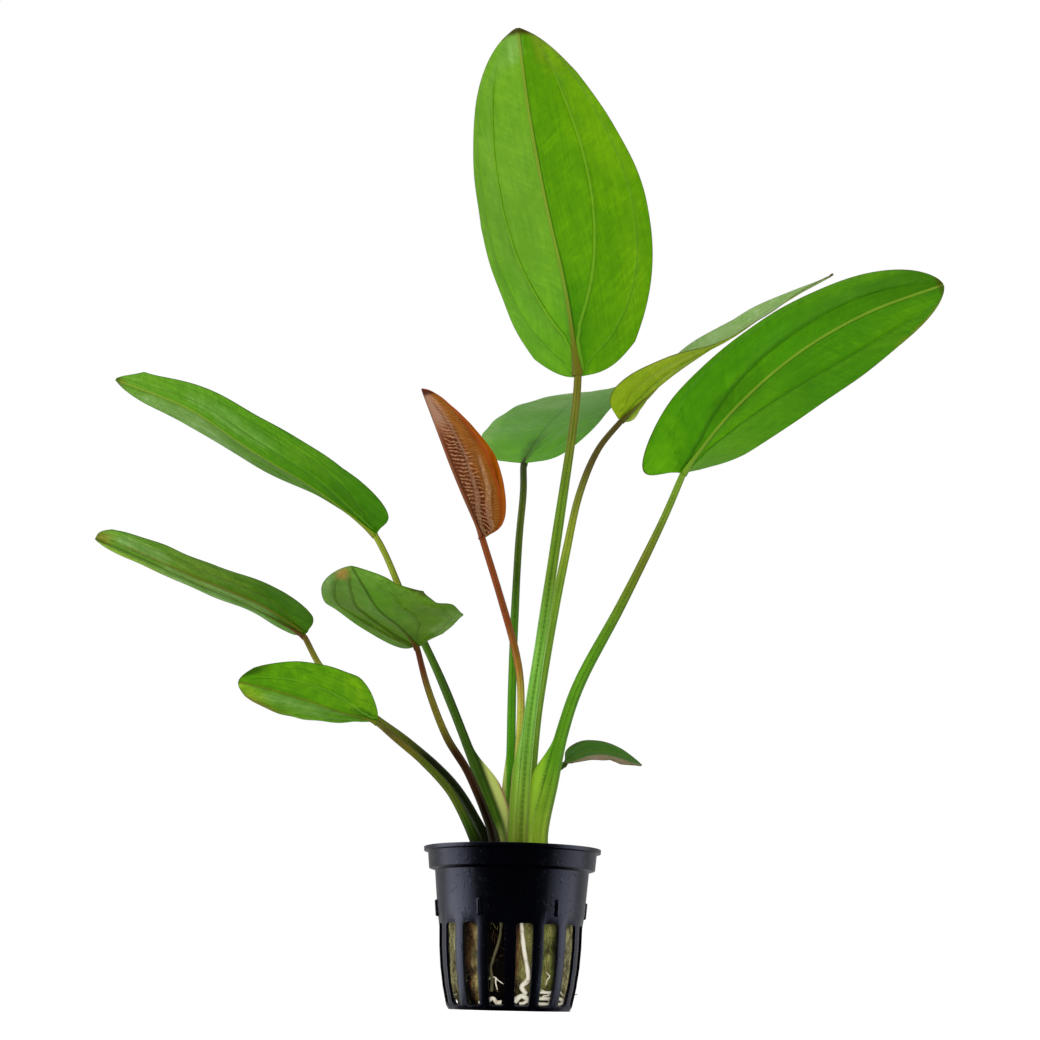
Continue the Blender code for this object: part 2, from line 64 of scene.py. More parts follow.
# Leaves. foot is where a stem leaves the crown, stem_radius its radius at the foot, above the
# sheath and at the blade; stem and midrib are the places that they pass. face is where the
# blade's upper face looks, and turn how far it is turned from there at the base, middle and
# tip. half is the widest half width, fold how far each half is folded up, curl how much more
# towards its edge, widest where it is widest, base and tip how full its ends are, and lobe how
# far the base reaches back. Pairs are for the plus and the minus side.
# veins: each side vein's place on the midrib, the share of the half width that it reaches, how
# far up the blade it takes to get there, and how strongly it stands out.
# corners: the margin's corners and notches, as side (0 is plus), place, how far out, how long.
# ripple: how each margin waves, as size, waves and start. swell is how far the blade swells
# between two veins, pleats how far the veins of a pleated blade stand out of its underside.
# vein_width is a share of the usual one, and painted_shade_side the side (1 or -1) that gets
# painted shade in the crease next to each vein and along the midrib.
LEAVES = {
    "tall": {
        "foot": (2.8, -3), "stem_radius": (2.35, 2.05, 1.25),
        "stem": (
            (2.6, -3.6, 57), (4.3, -5, 87), (8.1, -9, 118), (12.2, -12.5, 150), (16.8, -17, 186)),
        "midrib": ((18, -20, 200.5), (13, -24, 229.5), (6, -29, 257.5), (0, -34, 286),
                   (-4.5, -39, 314.5)),
        "face": (0.37, 0.93, 0.1), "turn": (9, 1, 19), "half": (35.5, 35), "fold": (25, 27),
        "curl": 17, "widest": 0.47, "base": (1.8, 1.8), "tip": (1.7, 1.8), "lobe": (-1, 1.7),
        "veins": (((0.08, 0.6, 0.15, 1), (0, 0.87, 0.12, 0.3)),
                  ((0.1, 0.52, 0.2, 1.4), (0, 0.84, 0.1, 0.6))),
        "corners": (
            (1, 0.1, 1.3, 0.04), (1, 0.88, 0.9, 0.08), (0, 0.08, 0.9, 0.03), (0, 0.52, 0.6, 0.04)),
        "swell": 0.35,
    },
    "right": {
        "foot": (8.4, -0.2), "stem_radius": (3.1, 2.1, 1.05),
        "stem": ((8.6, 0, 56), (11.6, -0.5, 70), (15.2, -1, 87), (21, -2, 104), (33.4, -4, 128),
                 (45.8, -6.5, 154)),
        "midrib": ((52.5, -8, 172), (69.5, -12, 193), (89, -18.5, 210), (111, -26.5, 222),
                   (134, -37, 228.5)),
        "face": (-0.45, 0.25, 0.85), "turn": (-13, -53, -47), "half": (17.6, 23), "fold": (24, 15),
        "curl": 20, "widest": 0.22, "base": (1.75, 1.4), "tip": (3.2, 1.65), "lobe": (13, -1),
        "veins": (((0.03, 0.46, 0.26, 1), (0, 0.88, 0.09, 0.4)), ((0, 0.7, 0.5, 1),)),
        "corners": ((1, 0.05, 0.6, 0.03),), "ripple": ((0.15, 5, 0), (0.12, 4, 1)), "swell": 0.4,
    },
    "right_back": {
        "foot": (4.6, 3.6), "stem_radius": (2.1, 1.9, 1),
        "stem": ((4.4, 4, 57), (6.4, 6.5, 90), (10.6, 9, 120), (15.9, 12, 150), (20, 14.5, 170),
                 (26, 16.5, 186)),
        "midrib": ((33.5, 18, 197.5), (51, 21.5, 215), (70, 24.5, 230), (89.5, 28, 244.8),
                   (110.5, 31.5, 258.5)),
        "face": (-0.5, -0.1, 0.85), "turn": (-50, 31, 9), "half": (14.6, 13), "fold": (20, 12),
        "curl": 2, "widest": 0.24, "base": (3, 1.4), "tip": (1.2, 1.25), "lobe": (1.5, -1),
        "corners": ((0, 0.6, -1.4, 0.25), (1, 0.6, -2.5, 0.25)),
    },
    "back": {
        "foot": (0, 6), "stem_radius": (1.8, 1.45, 1.15),
        "stem": ((-0.8, 6.6, 57), (-1.3, 9, 90), (-1.2, 12, 119), (-0.3, 17, 152), (0.9, 20, 171)),
        "midrib": (
            (0.6, 22, 183), (7, 36.5, 198), (14, 52.5, 211), (20, 70.5, 222), (26, 89.5, 231)),
        "face": (0, 0, 1), "turn": (6, -4, -2), "half": (24.5, 24.5), "fold": (2, 2), "curl": 6,
        "widest": 0.4, "base": (1.9, 1.9), "tip": (1.8, 1.7), "lobe": (3, 3),
        "veins": 2 * (((0.04, 0.46, 0.16, 0.3), (0, 0.82, 0.1, 0.2)),),
        "corners": ((1, 0.86, 0.8, 0.05),),
    },
    "young_red": {
        "foot": (0, 1.4), "stem_radius": (1.5, 1.3, 1.1),
        "stem": ((0.2, 1.4, 57), (1.2, 0.9, 78), (1.6, 0.4, 98), (-0.3, 0, 112), (-6, -1, 131)),
        "midrib": ((-12, -2, 150), (-18, -3, 162), (-23.5, -4, 174.5), (-28.5, -5, 187),
                   (-33.5, -6, 199.5)),
        "face": (0.93, -0.05, 0.37), "turn": (-6, -16, 4), "half": (14.8, 14.8), "fold": (77, 73),
        "curl": 2, "widest": 0.44, "base": (2.6, 2.6), "tip": (1.3, 1.45), "lobe": (1, 1),
        "veins": 2 * (((0, 0.75, 0.3, 1), (0, 0.98, 0.17, 1)),),
        "ripple": ((0.25, 9, 0), (0.25, 9, 1)), "swell": 1.5, "pleats": 1.4, "vein_width": 2.7,
    },
    "upper_left": {
        "foot": (-4.2, 0.2), "stem_radius": (2.4, 1.6, 1),
        "stem": ((-5.4, 1, 57), (-13.6, 3, 78), (-24.6, 6.5, 104), (-36, 9, 127), (-44, 11, 145)),
        "midrib": ((-48, 12, 154), (-69.5, 13.5, 169.5), (-92.5, 15.5, 183.4),
                   (-115, 17.5, 198.2), (-141.5, 20.5, 209)),
        "face": (0.5, 0.4, 0.8), "turn": (-15, 4, 37), "half": (19, 16.6), "fold": (18.5, 20.5),
        "curl": 4, "widest": 0.16, "base": (1.8, 2), "tip": (1.2, 1.6), "lobe": (-1, 6.5),
        "veins": (((0.05, 0.55, 0.2, 0.6),), ((0, 0.42, 0.2, 0.8), (0, 0.8, 0.12, 0.5))),
        "corners": ((1, 0.92, 1.7, 0.045), (1, 0.2, -1.2, 0.12)), "painted_shade_side": 1,
    },
    "middle_left": {
        "foot": (-8.6, 3), "stem_radius": (1.6, 1.4, 0.95),
        "stem": (
            (-10.6, 3.2, 56), (-19.5, 5, 70), (-34, 7, 83), (-48, 9.5, 93), (-63.2, 12.8, 106.4)),
        "midrib": ((-70.5, 15, 119.5), (-88.5, 19, 129), (-107.5, 22.5, 137), (-127, 26.5, 146),
                   (-146.5, 30.5, 154.5)),
        "face": (0.4, 0.3, 0.9), "turn": (6, 0, 21), "half": (9.6, 14.8), "fold": (13.5, 15.5),
        "curl": -4, "widest": 0.16, "base": (1.2, 1.6), "tip": (1.2, 2.4), "lobe": (-1, 6),
        "veins": (((0.04, 0.5, 0.16, 0.5),), ((0, 0.27, 0.1, 1.2), (0, 0.7, 0.12, 0.7))),
        "corners": ((1, 0.04, 0.7, 0.02), (1, 0.93, 0.5, 0.03)), "painted_shade_side": 1,
    },
    "front_left": {
        "foot": (-5.6, -6), "stem_radius": (1.6, 1.4, 0.9),
        "stem": ((-7.6, -6.6, 57), (-14.4, -9, 72), (-21.6, -12, 83), (-27.6, -18, 97)),
        "midrib": ((-31, -25, 109.5), (-36, -38.5, 113), (-41.5, -51, 115.5), (-45, -63, 119.5),
                   (-48, -74, 123.5)),
        "face": (0.2, 0.3, 0.9), "turn": (5, -2, -2), "half": (23, 22), "fold": (10, 10),
        "curl": 2, "widest": 0.42, "base": (1.45, 1.2), "tip": (1.4, 1.2), "lobe": (7, -1),
        "veins": (((0, 0.4, 0.1, 1), (0, 0.76, 0.12, 0.8)),
                  ((0.05, 0.45, 0.2, 0.6), (0, 0.82, 0.08, 0.6))),
        "corners": ((1, 0.07, 2, 0.05), (1, 0.27, 1.6, 0.03), (1, 0.55, -1.2, 0.05),
                    (1, 0.7, 2, 0.03), (1, 0.8, -1.4, 0.04)),
    },
    "lower_left": {
        "foot": (-11, -3.6), "stem_radius": (1.6, 1.4, 0.9),
        "stem": ((-14.6, -3.8, 57), (-20.5, -5.5, 67), (-29, -8, 75.5), (-37.5, -11.5, 82)),
        "midrib": ((-43.5, -14, 87.5), (-54.5, -17, 89.5), (-65, -20, 92.5), (-75.5, -22.5, 95),
                   (-86, -25.5, 97)),
        "face": (0.2, 0.4, 0.9), "turn": (-8, 16, 37), "half": (15.8, 14), "fold": (17, 20),
        "curl": 6, "widest": 0.25, "base": (2, 1.9), "tip": (1.7, 1.6), "lobe": (1, -1),
        "corners": ((1, 0.92, 0.5, 0.06), (0, 0.92, 0.4, 0.06)), "painted_shade_side": 1,
    },
    "small_right": {
        "foot": (7.8, 6.2), "stem_radius": (1.2, 1, 0.8),
        "stem": ((8.2, 7, 57), (9.5, 8.5, 66), (12, 10.5, 73.5)),
        "midrib": (
            (16, 12, 78.5), (22, 15.5, 82), (29, 19.5, 83.5), (36, 22.5, 82.5), (42.5, 25.5, 80)),
        "face": (-0.3, -0.2, 0.9), "turn": (6, 23, 24), "half": (9.8, 9), "fold": (2, 6),
        "curl": -4, "widest": 0.45, "base": (1.75, 1.2), "tip": (2, 1.4), "lobe": (0.5, -1),
        "ripple": ((0.05, 2, 0), (0.05, 2, 1)),
    },
}
USUAL_LEAF = {
    "veins": 2 * (((0.04, 0.46, 0.16, 0.9), (0, 0.82, 0.1, 0.6)),), "corners": (),
    "ripple": ((0.2, 4, 0), (0.2, 4.5, 1.5)), "swell": 0.3, "pleats": 0, "vein_width": 1,
    "painted_shade_side": -1,
}

# Looks of the blades. under is the underside's colours from base to tip, for the plus and the
# minus side, and upper the upper face's. vein, side_vein and margin are colours. tip is how
# dark the tip is, sheen how much the blade shines, lined how strongly it is lined lengthwise,
# creased how much painted shade darkens the crease next to each vein, veined and upper_veined
# how clearly the side veins show on each face, mottled how strongly it is mottled, with pale
# mottles that paint a patchy sheen, rib how clearly the midrib shows, and glow how much light
# comes through and its colour.
# patches: place along and across, reach along and across, colour and strength. A few of them
# paint shade, a sheen or a highlight, as noted where they stand.
BLADE_LOOKS = {
    "tall": {
        "under": (("fresh_green", "grey_green", "grey_green"),
                  ("leaf_green", "leaf_green", "leaf_green")),
        "vein": "vein_tan", "side_vein": "vein_green", "margin": "margin_brown", "tip": 0.95,
        "lined": 0.3, "mottled": 0.55,
        "patches": (
            (0.06, 0.25, 0.1, 0.3, "leaf_green", 0.5), (0.1, -0.1, 0.25, 0.3, "mid_green", 0.7),
            (0.2, 0.85, 0.3, 0.4, "fresh_green", 0.6), (0.95, -0.8, 0.14, 0.6, "tan_green", 0.6),
            (0.75, -0.75, 0.45, 0.45, "gold_green", 0.9),
            (0.35, -0.8, 0.3, 0.25, "gold_green", 0.5), (0.96, 0.3, 0.1, 0.5, "sage", 0.35),
            # The grey_green patch on the next line paints a soft pale sheen on the plus half
            (0.75, 0.45, 0.3, 0.5, "grey_green", 0.5)),
    },
    "right": {
        "under": (
            ("mid_green", "mid_green", "dark_green"), ("fresh_green", "mid_green", "mid_green")),
        "vein": "vein_pale", "side_vein": "vein_dark", "margin": "margin_brown", "tip": 0.6,
        "sheen": 0.16, "lined": 0.3, "veined": 0.7, "mottled": 0.5,
        "patches": (
            (0.03, -0.4, 0.1, 0.5, "grey_green", 0.7), (0.1, -0.8, 0.2, 0.5, "leaf_green", 0.7),
            (0.05, 0.7, 0.14, 0.5, "fresh_green", 0.7), (0.93, -1, 0.18, 0.2, "tan_green", 0.6),
            (0.85, -0.5, 0.2, 0.6, "leaf_green", 0.5), (0.3, 0.15, 0.2, 0.3, "dark_green", 0.5),
            (0.75, 0.9, 0.25, 0.25, "leaf_green", 0.5)),
    },
    "right_back": {
        "under": 2 * (("lime", "lime", "sage"),), "upper": ("sage", "sage", "sage"),
        "vein": "vein_pink", "side_vein": "moss", "margin": "margin_red", "tip": 0.8,
    },
    "back": {
        "under": 2 * (("leaf_green", "leaf_green", "leaf_green"),),
        "upper": ("cool_green", "cool_green", "pale_green"), "vein": "moss",
        "side_vein": "cool_green", "margin": "cool_green", "sheen": 0.22, "lined": 0.1,
        "creased": 0.3, "upper_veined": 0.15,
        "patches": (
            # The dark_green patch on the next line paints the V of shade where the stem meets the
            # blade
            (0.12, -0.75, 0.2, 0.5, "fresh_green", 0.8), (0.03, 0, 0.26, 0.24, "dark_green", 0.85),
            # The first pale_green patch on the next line paints a highlight on the minus edge
            (0.3, -1, 0.3, 0.3, "pale_green", 0.7), (0.6, -0.4, 0.2, 0.4, "pale_green", 0.4)),
    },
    "young_red": {
        "vein": "deep_red", "margin": "rust", "creased": 0.1, "veined": 0, "rib": 0.4,
        "glow": (0.06, "glow_red"),
    },
    "upper_left": {
        "under": (
            ("leaf_green", "haze_green", "haze_green"), ("mid_green", "cool_leaf", "haze_green")),
        "vein": "vein_pale", "side_vein": "vein_soft", "tip": 0.7, "lined": 0.5, "creased": 0.45,
        "patches": (
            (0.1, 0.7, 0.3, 0.5, "fresh_green", 0.4), (1, 0, 0.06, 0.8, "brown_olive", 0.5),
            (0.12, -0.3, 0.2, 0.4, "dark_green", 0.5), (0.75, 0.6, 0.35, 0.6, "sage", 0.5),
            # The sage patch on the next line paints a bluish highlight on the minus half
            (0.62, -0.45, 0.28, 0.4, "sage", 0.2), (0.3, -0.7, 0.2, 0.35, "grey_green", 0.4),
            (0.85, -0.6, 0.12, 0.6, "grey_green", 0.35)),
    },
    "middle_left": {
        "under": (("leaf_green", "haze_green", "haze_green"),
                  ("dark_green", "dull_green", "haze_green")),
        "vein": "maroon", "side_vein": "brown_olive", "tip": 0.3, "sheen": 0.24, "lined": 0.75,
        "creased": 0.7, "veined": 0.75,
        "patches": (
            (0.12, -0.5, 0.16, 0.7, "dark_green", 0.8), (1, -0.3, 0.08, 0.7, "brown_olive", 0.6),
            (0.4, -0.1, 0.35, 0.25, "sage", 0.4), (0.85, 0.8, 0.3, 0.5, "lime", 0.6),
            (0.4, 0.6, 0.5, 0.4, "sage", 0.6), (0.8, -0.5, 0.2, 0.4, "sage", 0.4),
            (0.97, -0.5, 0.1, 0.7, "tan_green", 0.5)),
    },
    "front_left": {
        "under": 2 * (("dusk_green", "dusk_green", "haze_green"),),
        "upper": ("leaf_green", "leaf_green", "leaf_green"), "vein": "maroon",
        "side_vein": "maroon", "sheen": 0.26, "veined": 0.7, "mottled": 0.9,
        "patches": (
            (0.9, 0.6, 0.14, 0.5, "tan_green", 0.6), (0.88, 0.75, 0.12, 0.4, "tinge", 0.7),
            (0.7, 1, 0.3, 0.25, "sage", 0.6), (0.3, 0.95, 0.4, 0.3, "grey_green", 0.7),
            (0.55, 0, 0.35, 0.5, "leaf_green", 0.5), (0.2, -0.85, 0.25, 0.4, "sage", 0.3),
            (0.7, -1, 0.1, 0.2, "maroon", 0.7)),
    },
    "lower_left": {
        "under": (("leaf_green", "grey_green", "grey_green"),
                  ("leaf_green", "bright_lime", "bright_lime")),
        "upper": ("leaf_green", "leaf_green", "lime"), "vein": "brown_olive",
        "side_vein": "vein_soft", "tip": 0.2, "lined": 0.45, "creased": 0.6, "mottled": 1.2,
        "patches": (
            (0.93, -0.9, 0.16, 0.4, "blackish_green", 0.6),
            (0.15, -0.6, 0.25, 0.6, "gold_green", 0.8),
            (0.8, 0.95, 0.35, 0.4, "orange_brown", 0.5), (0.9, 0.5, 0.2, 0.5, "lime", 0.4),
            (0.1, -0.1, 0.16, 0.3, "dark_green", 0.7), (0.6, 0.35, 0.3, 0.3, "sage", 0.4)),
    },
    "small_right": {
        "under": 2 * (("moss", "moss", "moss"),),
        "upper": ("dark_green", "dark_green", "dark_green"), "vein": "vein_tan",
        "side_vein": "moss", "margin": "brown_grey", "tip": 0.4, "sheen": 0.1, "lined": 0.1,
        "patches": (
            (0.3, 0.9, 1.2, 0.5, "withered", 0.9), (0.4, -0.98, 0.7, 0.16, "brown_grey", 0.6)),
    },
}
USUAL_BLADE = {
    "upper": ("leaf_green", "deep_green", "leaf_green"), "margin": "moss", "tip": 0,
    "sheen": 0.2, "lined": 0.2, "creased": 0.85, "veined": 0.5, "upper_veined": 0.45,
    "mottled": 0.65, "rib": 1, "glow": (0.2, "glow_green"), "patches": (),
}

# Looks of the stems: colours, evenly spaced from the crown to the blade; the sheath's wings,
# as their direction round the stem (0 is the front, 90 the right), how far they stand out, the
# height at which they end, and their colour; dark, how strongly painted shade darkens the right
# side, and pale, how strongly a painted sheen lightens the left; the colour of the light that
# comes through, and whether a dotted band runs up the front, which also brings a painted
# highlight down the right edge.
STEM_LOOKS = {
    "tall": {
        "colours": ("stem_olive", "stem_light", "stem_pale", "stem_pale", "stem_leaf",
                    "stem_leaf", "stem_olive", "brown_olive"),
        "sheath": (-95, 2, 88, "stem_light"), "dark": 0, "pale": 0.6, "banded": True,
    },
    "right": {
        "colours": ("stem_lime", "stem_green", "stem_green", "stem_olive", "stem_light"),
        "sheath": (-80, 4.6, 85, "sheath_lime"), "dark": 0.3, "pale": 0.6,
    },
    "right_back": {
        "colours": ("stem_olive", "stem_light", "stem_light", "stem_light", "stem_light",
                    "lime_olive", "brown_grey", "brown_grey"),
        "sheath": (60, 1, 66, "stem_light"), "dark": 0.2, "pale": 0.6,
    },
    "back": {
        "colours": ("straw", "stem_bright", "stem_bright", "stem_green", "moss", "shade_olive",
                    "blackish_green"),
        "sheath": (-60, 1.6, 84, "straw"), "dark": 0.1, "pale": 0.1,
    },
    "young_red": {
        "colours": ("stem_light", "stem_light", "yellow_straw", "yellow_straw", "gold",
                    "stem_rust", "stem_rust", "stem_rust"),
        "glow": "glow_red",
    },
    "upper_left": {
        "colours": ("straw", "shade_green", "moss", "moss", "moss", "shade_green", "shade_olive",
                    "lime_olive", "lime_olive"),
        "sheath": (75, 3.8, 82, "straw"), "dark": 0.95, "pale": 1,
    },
    "middle_left": {
        "colours": ("blackish_green", "blackish_green", "blackish_green", "stem_olive",
                    "lime_olive", "stem_wine"),
        "sheath": (80, 1, 62, "blackish_green"), "pale": 0.1,
    },
    "front_left": {
        "colours": ("black_maroon", "black_maroon", "black_maroon", "maroon", "maroon",
                    "brown_olive", "brown_olive", "stem_wine", "stem_wine"),
        "sheath": (90, 1.2, 60, "maroon"), "pale": 0.1, "glow": "glow_red",
    },
    "lower_left": {
        "colours": ("blackish_green", "blackish_green", "moss", "shade_olive", "shade_olive",
                    "shade_olive", "brown_olive", "brown_grey", "stem_olive"),
        "sheath": (90, 1.2, 60, "blackish_green"), "pale": 0.25,
    },
    "small_right": {
        "colours": ("stem_green", "stem_green", "stem_green", "moss", "moss"),
    },
}
USUAL_STEM = {
    "sheath": (90, 0.8, 60, "stem_light"), "dark": 0.5, "pale": 0.4, "glow": "glow_green",
    "banded": False,
}

# What isn't said of a leaf above is as usual
for rows, usual in ((LEAVES, USUAL_LEAF), (BLADE_LOOKS, USUAL_BLADE), (STEM_LOOKS, USUAL_STEM)):
    for leaf, own in rows.items():
        rows[leaf] = {**usual, **own}

# Roots: radius at the start and the end, then places as (angle from the front in degrees,
# height, depth behind the inside of the pot wall)
ROOTS = {
    "root_long": ((0.5, 0.78), ((7, 38, 1.1), (9, 26, 1.1), (12, 18, 1.1), (15.8, 12.4, 1.1),
                                 (16.6, 9.2, 1.0), (11.4, 7.3, 1.2), (13.5, 6.0, 1.2),
                                 (16.8, 5.0, 1.2))),
    "root_left": ((0.4, 0.5), ((-8, 30, 1.0), (-9, 22, 1.0), (-15, 15, 1.0), (-17, 12.5, 1.0),
                               (-16, 9.0, 1.0), (-17, 5.5, 1.0))),
    "root_curl": ((0.75, 0.55), ((5, 2.6, 1.2), (8, 3.7, 1.2), (12.3, 4.4, 1.3),
                                 (18, 3.5, 1.2), (15, 2.4, 1.3), (9.8, 2.1, 1.2))),
    "root_folded": ((0.6, 0.45), ((22, 2.2, 1.1), (40, 2.1, 1.1), (60, 2.2, 1.1),
                                  (66, 3.0, 1.1), (58, 3.8, 1.1), (40, 3.8, 1.1),
                                  (28, 3.9, 1.1), (24, 4.7, 1.1), (29, 5.6, 1.1),
                                  (42, 5.6, 1.1), (58, 5.8, 1.1))),
    "root_short": ((0.55, 0.7), ((-31, 2.2, 1.1), (-22, 2.4, 1.1), (-16, 3.6, 1.1),
                                 (-12, 2.4, 1.1), (-7, 2.3, 1.1))),
}

# Fine roots between them, as places like those above
FINE_ROOTS = (
    ((-69, 5.9, 1.0), (-72, 4.9, 1.0), (-78, 3.9, 1.1)),
    ((-72, 4.9, 1.0), (-68, 4.3, 1.0), (-62, 4.5, 1.1)),
    ((-23, 7.5, 1.1), (-19, 9.2, 1.0), (-14, 9.8, 1.0), (-10, 8.8, 1.0), (-5.5, 7.8, 1.1)),
    ((-12.4, 9.8, 1.0), (-12.6, 8.0, 1.0), (-11, 6.0, 1.0)),
    ((34.4, 11.6, 1.1), (38.8, 10.4, 1.0), (36.2, 9.2, 1.0), (36.0, 7.8, 1.1)),
    ((31, 6.4, 1.0), (41.6, 4.9, 0.9), (33, 4.4, 0.9), (42.8, 2.9, 1.0), (34.6, 1.9, 1.0)),
    ((54, 6.6, 1.1), (61.7, 5.0, 0.9), (75, 4.2, 0.9), (92, 4.9, 1.0)),
    ((99, 6.6, 1.1), (88, 4.8, 0.9), (76, 3.2, 0.9), (68, 2.0, 1.0)),
    ((98, 2.6, 1.1), (84, 3.3, 0.9), (72, 2.4, 1.0)),
    ((99, 4.4, 1.1), (91, 5.0, 0.2), (86, 5.2, -1.3), (83, 5.1, -1.9)),
)
FINE_ROOT_RADIUS = 0.22
OLD_ROOTS = ("root_left",)
ROOT_RINGS = 120
FINE_ROOT_RINGS = 24
ROOT_ANGLES = 17
ROOT_KNOTS = 0.35
ROOT_CREASES = 0.22

# Pot: outer profile from the base up, as (radius, height), its slots, lip and lugs
POT_OUTER = (
    (18.8, 0.0), (19.6, 1.3), (20.8, 7.0), (21.7, 13.0), (22.2, 19.0), (22.4, 25.8),
    (23.1, 29.5), (24.3, 42.3), (26.2, 42.9), (26.7, 48.1), (28.0, 48.2), (28.0, 49.5),
)
POT_WALL = 1.0
SLOTS = 16
SLOT_CUTS = (0.0, 0.08, 0.25, 0.5, 0.75, 0.92)
SLOT_SHARE = 0.6
SLOT_LOW, SLOT_HIGH = 1.3, 25.8
SLOT_ROUNDING = 0.7
FLOOR_SLOT = (7.0, 15.5)
LIP_FOOT_RADIUS, LIP_RADIUS = 26.86, 28.0
LIP_LOW, LIP_HIGH = 48.2, 49.5
LUG_ANGLES = (-25, 37, 95, 155, 215, 275)
LUG_SIZE = (1.3, 1.4, 5.2)
LUG_LEVEL = 30.6
LUG_LEAN = 5.4
LUG_ROUNDING = 0.5

# Rock wool: how far it stays inside the wall, where it starts and ends, its drawn-in foot,
# and the number and heights of its loose fibres
WOOL_CLEARANCE = 2.1
WOOL_FOOT, WOOL_TOP = 1.5, 40.0
WOOL_FOOT_EDGE, WOOL_FOOT_END = 1.0, 4.0
WOOL_ANGLES = 193
WOOL_RINGS = 84
FIBRES = 900
FIBRE_LOW, FIBRE_HIGH = 2.5, 38.5
FIBRE_RADIUS = 0.075
FIBRE_BOW = 0.22
FIBRE_RINGS = 6

# Stains round the rock wool, with painted light on its sides and painted shade in its hollows:
# place round it (0.5 is the front) and colour
WOOL_STAINS = ((0.0, "wool_khaki"), (0.14, "wool_stain"), (0.26, "wool_bright"),
               (0.345, "wool_bright"), (0.37, "wool_hollow"), (0.384, "wool_hollow"),
               (0.393, "wool_stain"), (0.402, "wool_tan"), (0.42, "wool_khaki"),
               (0.44, "wool_hollow"), (0.502, "wool_hollow"), (0.518, "wool_stain"),
               (0.54, "wool_khaki"), (0.562, "wool_khaki"), (0.576, "wool_hollow"),
               (0.588, "wool_olive"), (0.606, "wool_khaki"), (0.618, "wool_olive"),
               (0.635, "wool_hollow"), (0.652, "wool_bright"), (0.72, "wool_bright"),
               (0.78, "wool_stain"), (0.88, "wool_khaki"), (1.0, "wool_khaki"))

# Crown: its outline from below to above, as (radius, height)
CROWN_OUTLINE = ((0.0, 40.3), (13.2, 40.3), (14.0, 41.2), (13.9, 42.4), (13.2, 43.3),
                 (11.5, 43.9), (8.5, 44.0), (4.5, 44.0), (0.0, 44.0))
CROWN_TOP = 44.0
CROWN_RINGS = 40
CROWN_ANGLES = 97
CROWN_LUMPS = 0.05
CROWN_HILLS = 0.45
CROWN_SHOULDER = 41

# Stems: where they start, how far they rise straight, how far they run into the midrib (in
# radii of their end), and the share of the length that the sheath takes up
STEM_FOOT = 42.5
STEM_RISE = 4.0
STEM_END = 3.0
SHEATH_SHARE = 0.3
STEM_ANGLES = 49
STEM_SINK = 0.55
STEM_TIP = 0.25
THIN_STEM = 1.5

# Grooves and wings of the stems: where the grooves begin, as shares of the length, how far
# round the stem a wing reaches, between which heights it begins, how long it takes to end,
# and how closely the columns stand on it
GROOVE_START = (0.08, 0.2)
WING_SPREAD = 0.34
WING_START = (43, 50)
WING_FADE = 16
WING_CROWDING = 0.6

# Columns of vertices across a midrib and across a side vein: how far out, in half
# widths, how high the vein stands there, and how much painted shade its crease gets there
RIDGE_COLUMNS = ((0.0, 1.0, 0.0), (0.38, 0.92, 0.0), (0.71, 0.7, 0.0), (0.92, 0.38, 0.3),
                 (1.04, 0.0, 1.0), (1.9, 0.0, 0.75), (3.4, 0.0, 0.0))
VEIN_COLUMNS = ((-2.2, 0.0, 0.0), (-1.15, 0.05, 1.0), (-0.5, 0.7, 0.2), (0.0, 1.0, 0.0),
                (0.5, 0.7, 0.2), (1.15, 0.05, 1.0), (2.2, 0.0, 0.0))
MARGIN_COLUMNS = (1.2, 0.5, 0.15, 0.0)
FILL_COLUMNS = 4
RIDGE_FOOT = 1.04
VEIN_BEND = 1.0
TIP_HALF_WIDTH = 0.35
LOBE_PLACE = 0.06
MIDRIB_TIP = 0.55
NARROWEST_COLUMN = 0.002

# Blades: how far apart two side veins keep (in half widths) and how near the edge they come
# (a share), how wide a gap swells in full, how far midrib and veins sink into the upper face,
# and how uneven the blade is
VEIN_GAP = 2.4
VEIN_LIMIT = 0.97
FULL_SWELL = 9
RIDGE_SINK = 0.3
VEIN_SINK = 0.18
UNEVENNESS = 0.35

LEAF_SHINE = (0.8, 1.0, 0.5, 1.0)
POT_SHINE = (0.64, 0.69, 1.0, 1.0)
WHITE = (1.0, 1.0, 1.0, 1.0)
STEM_GLOW = 0.06

CAMERA_HEIGHT = 0.0063
CAMERA_DISTANCE = 0.6
CAMERA_PITCH = 14.08
CAMERA_ROLL = 1.3
CAMERA_LENS = 64.8
FLOOR_SIZE = 8.0
LIT_PLACE = (0.0, 0.0, 0.14)

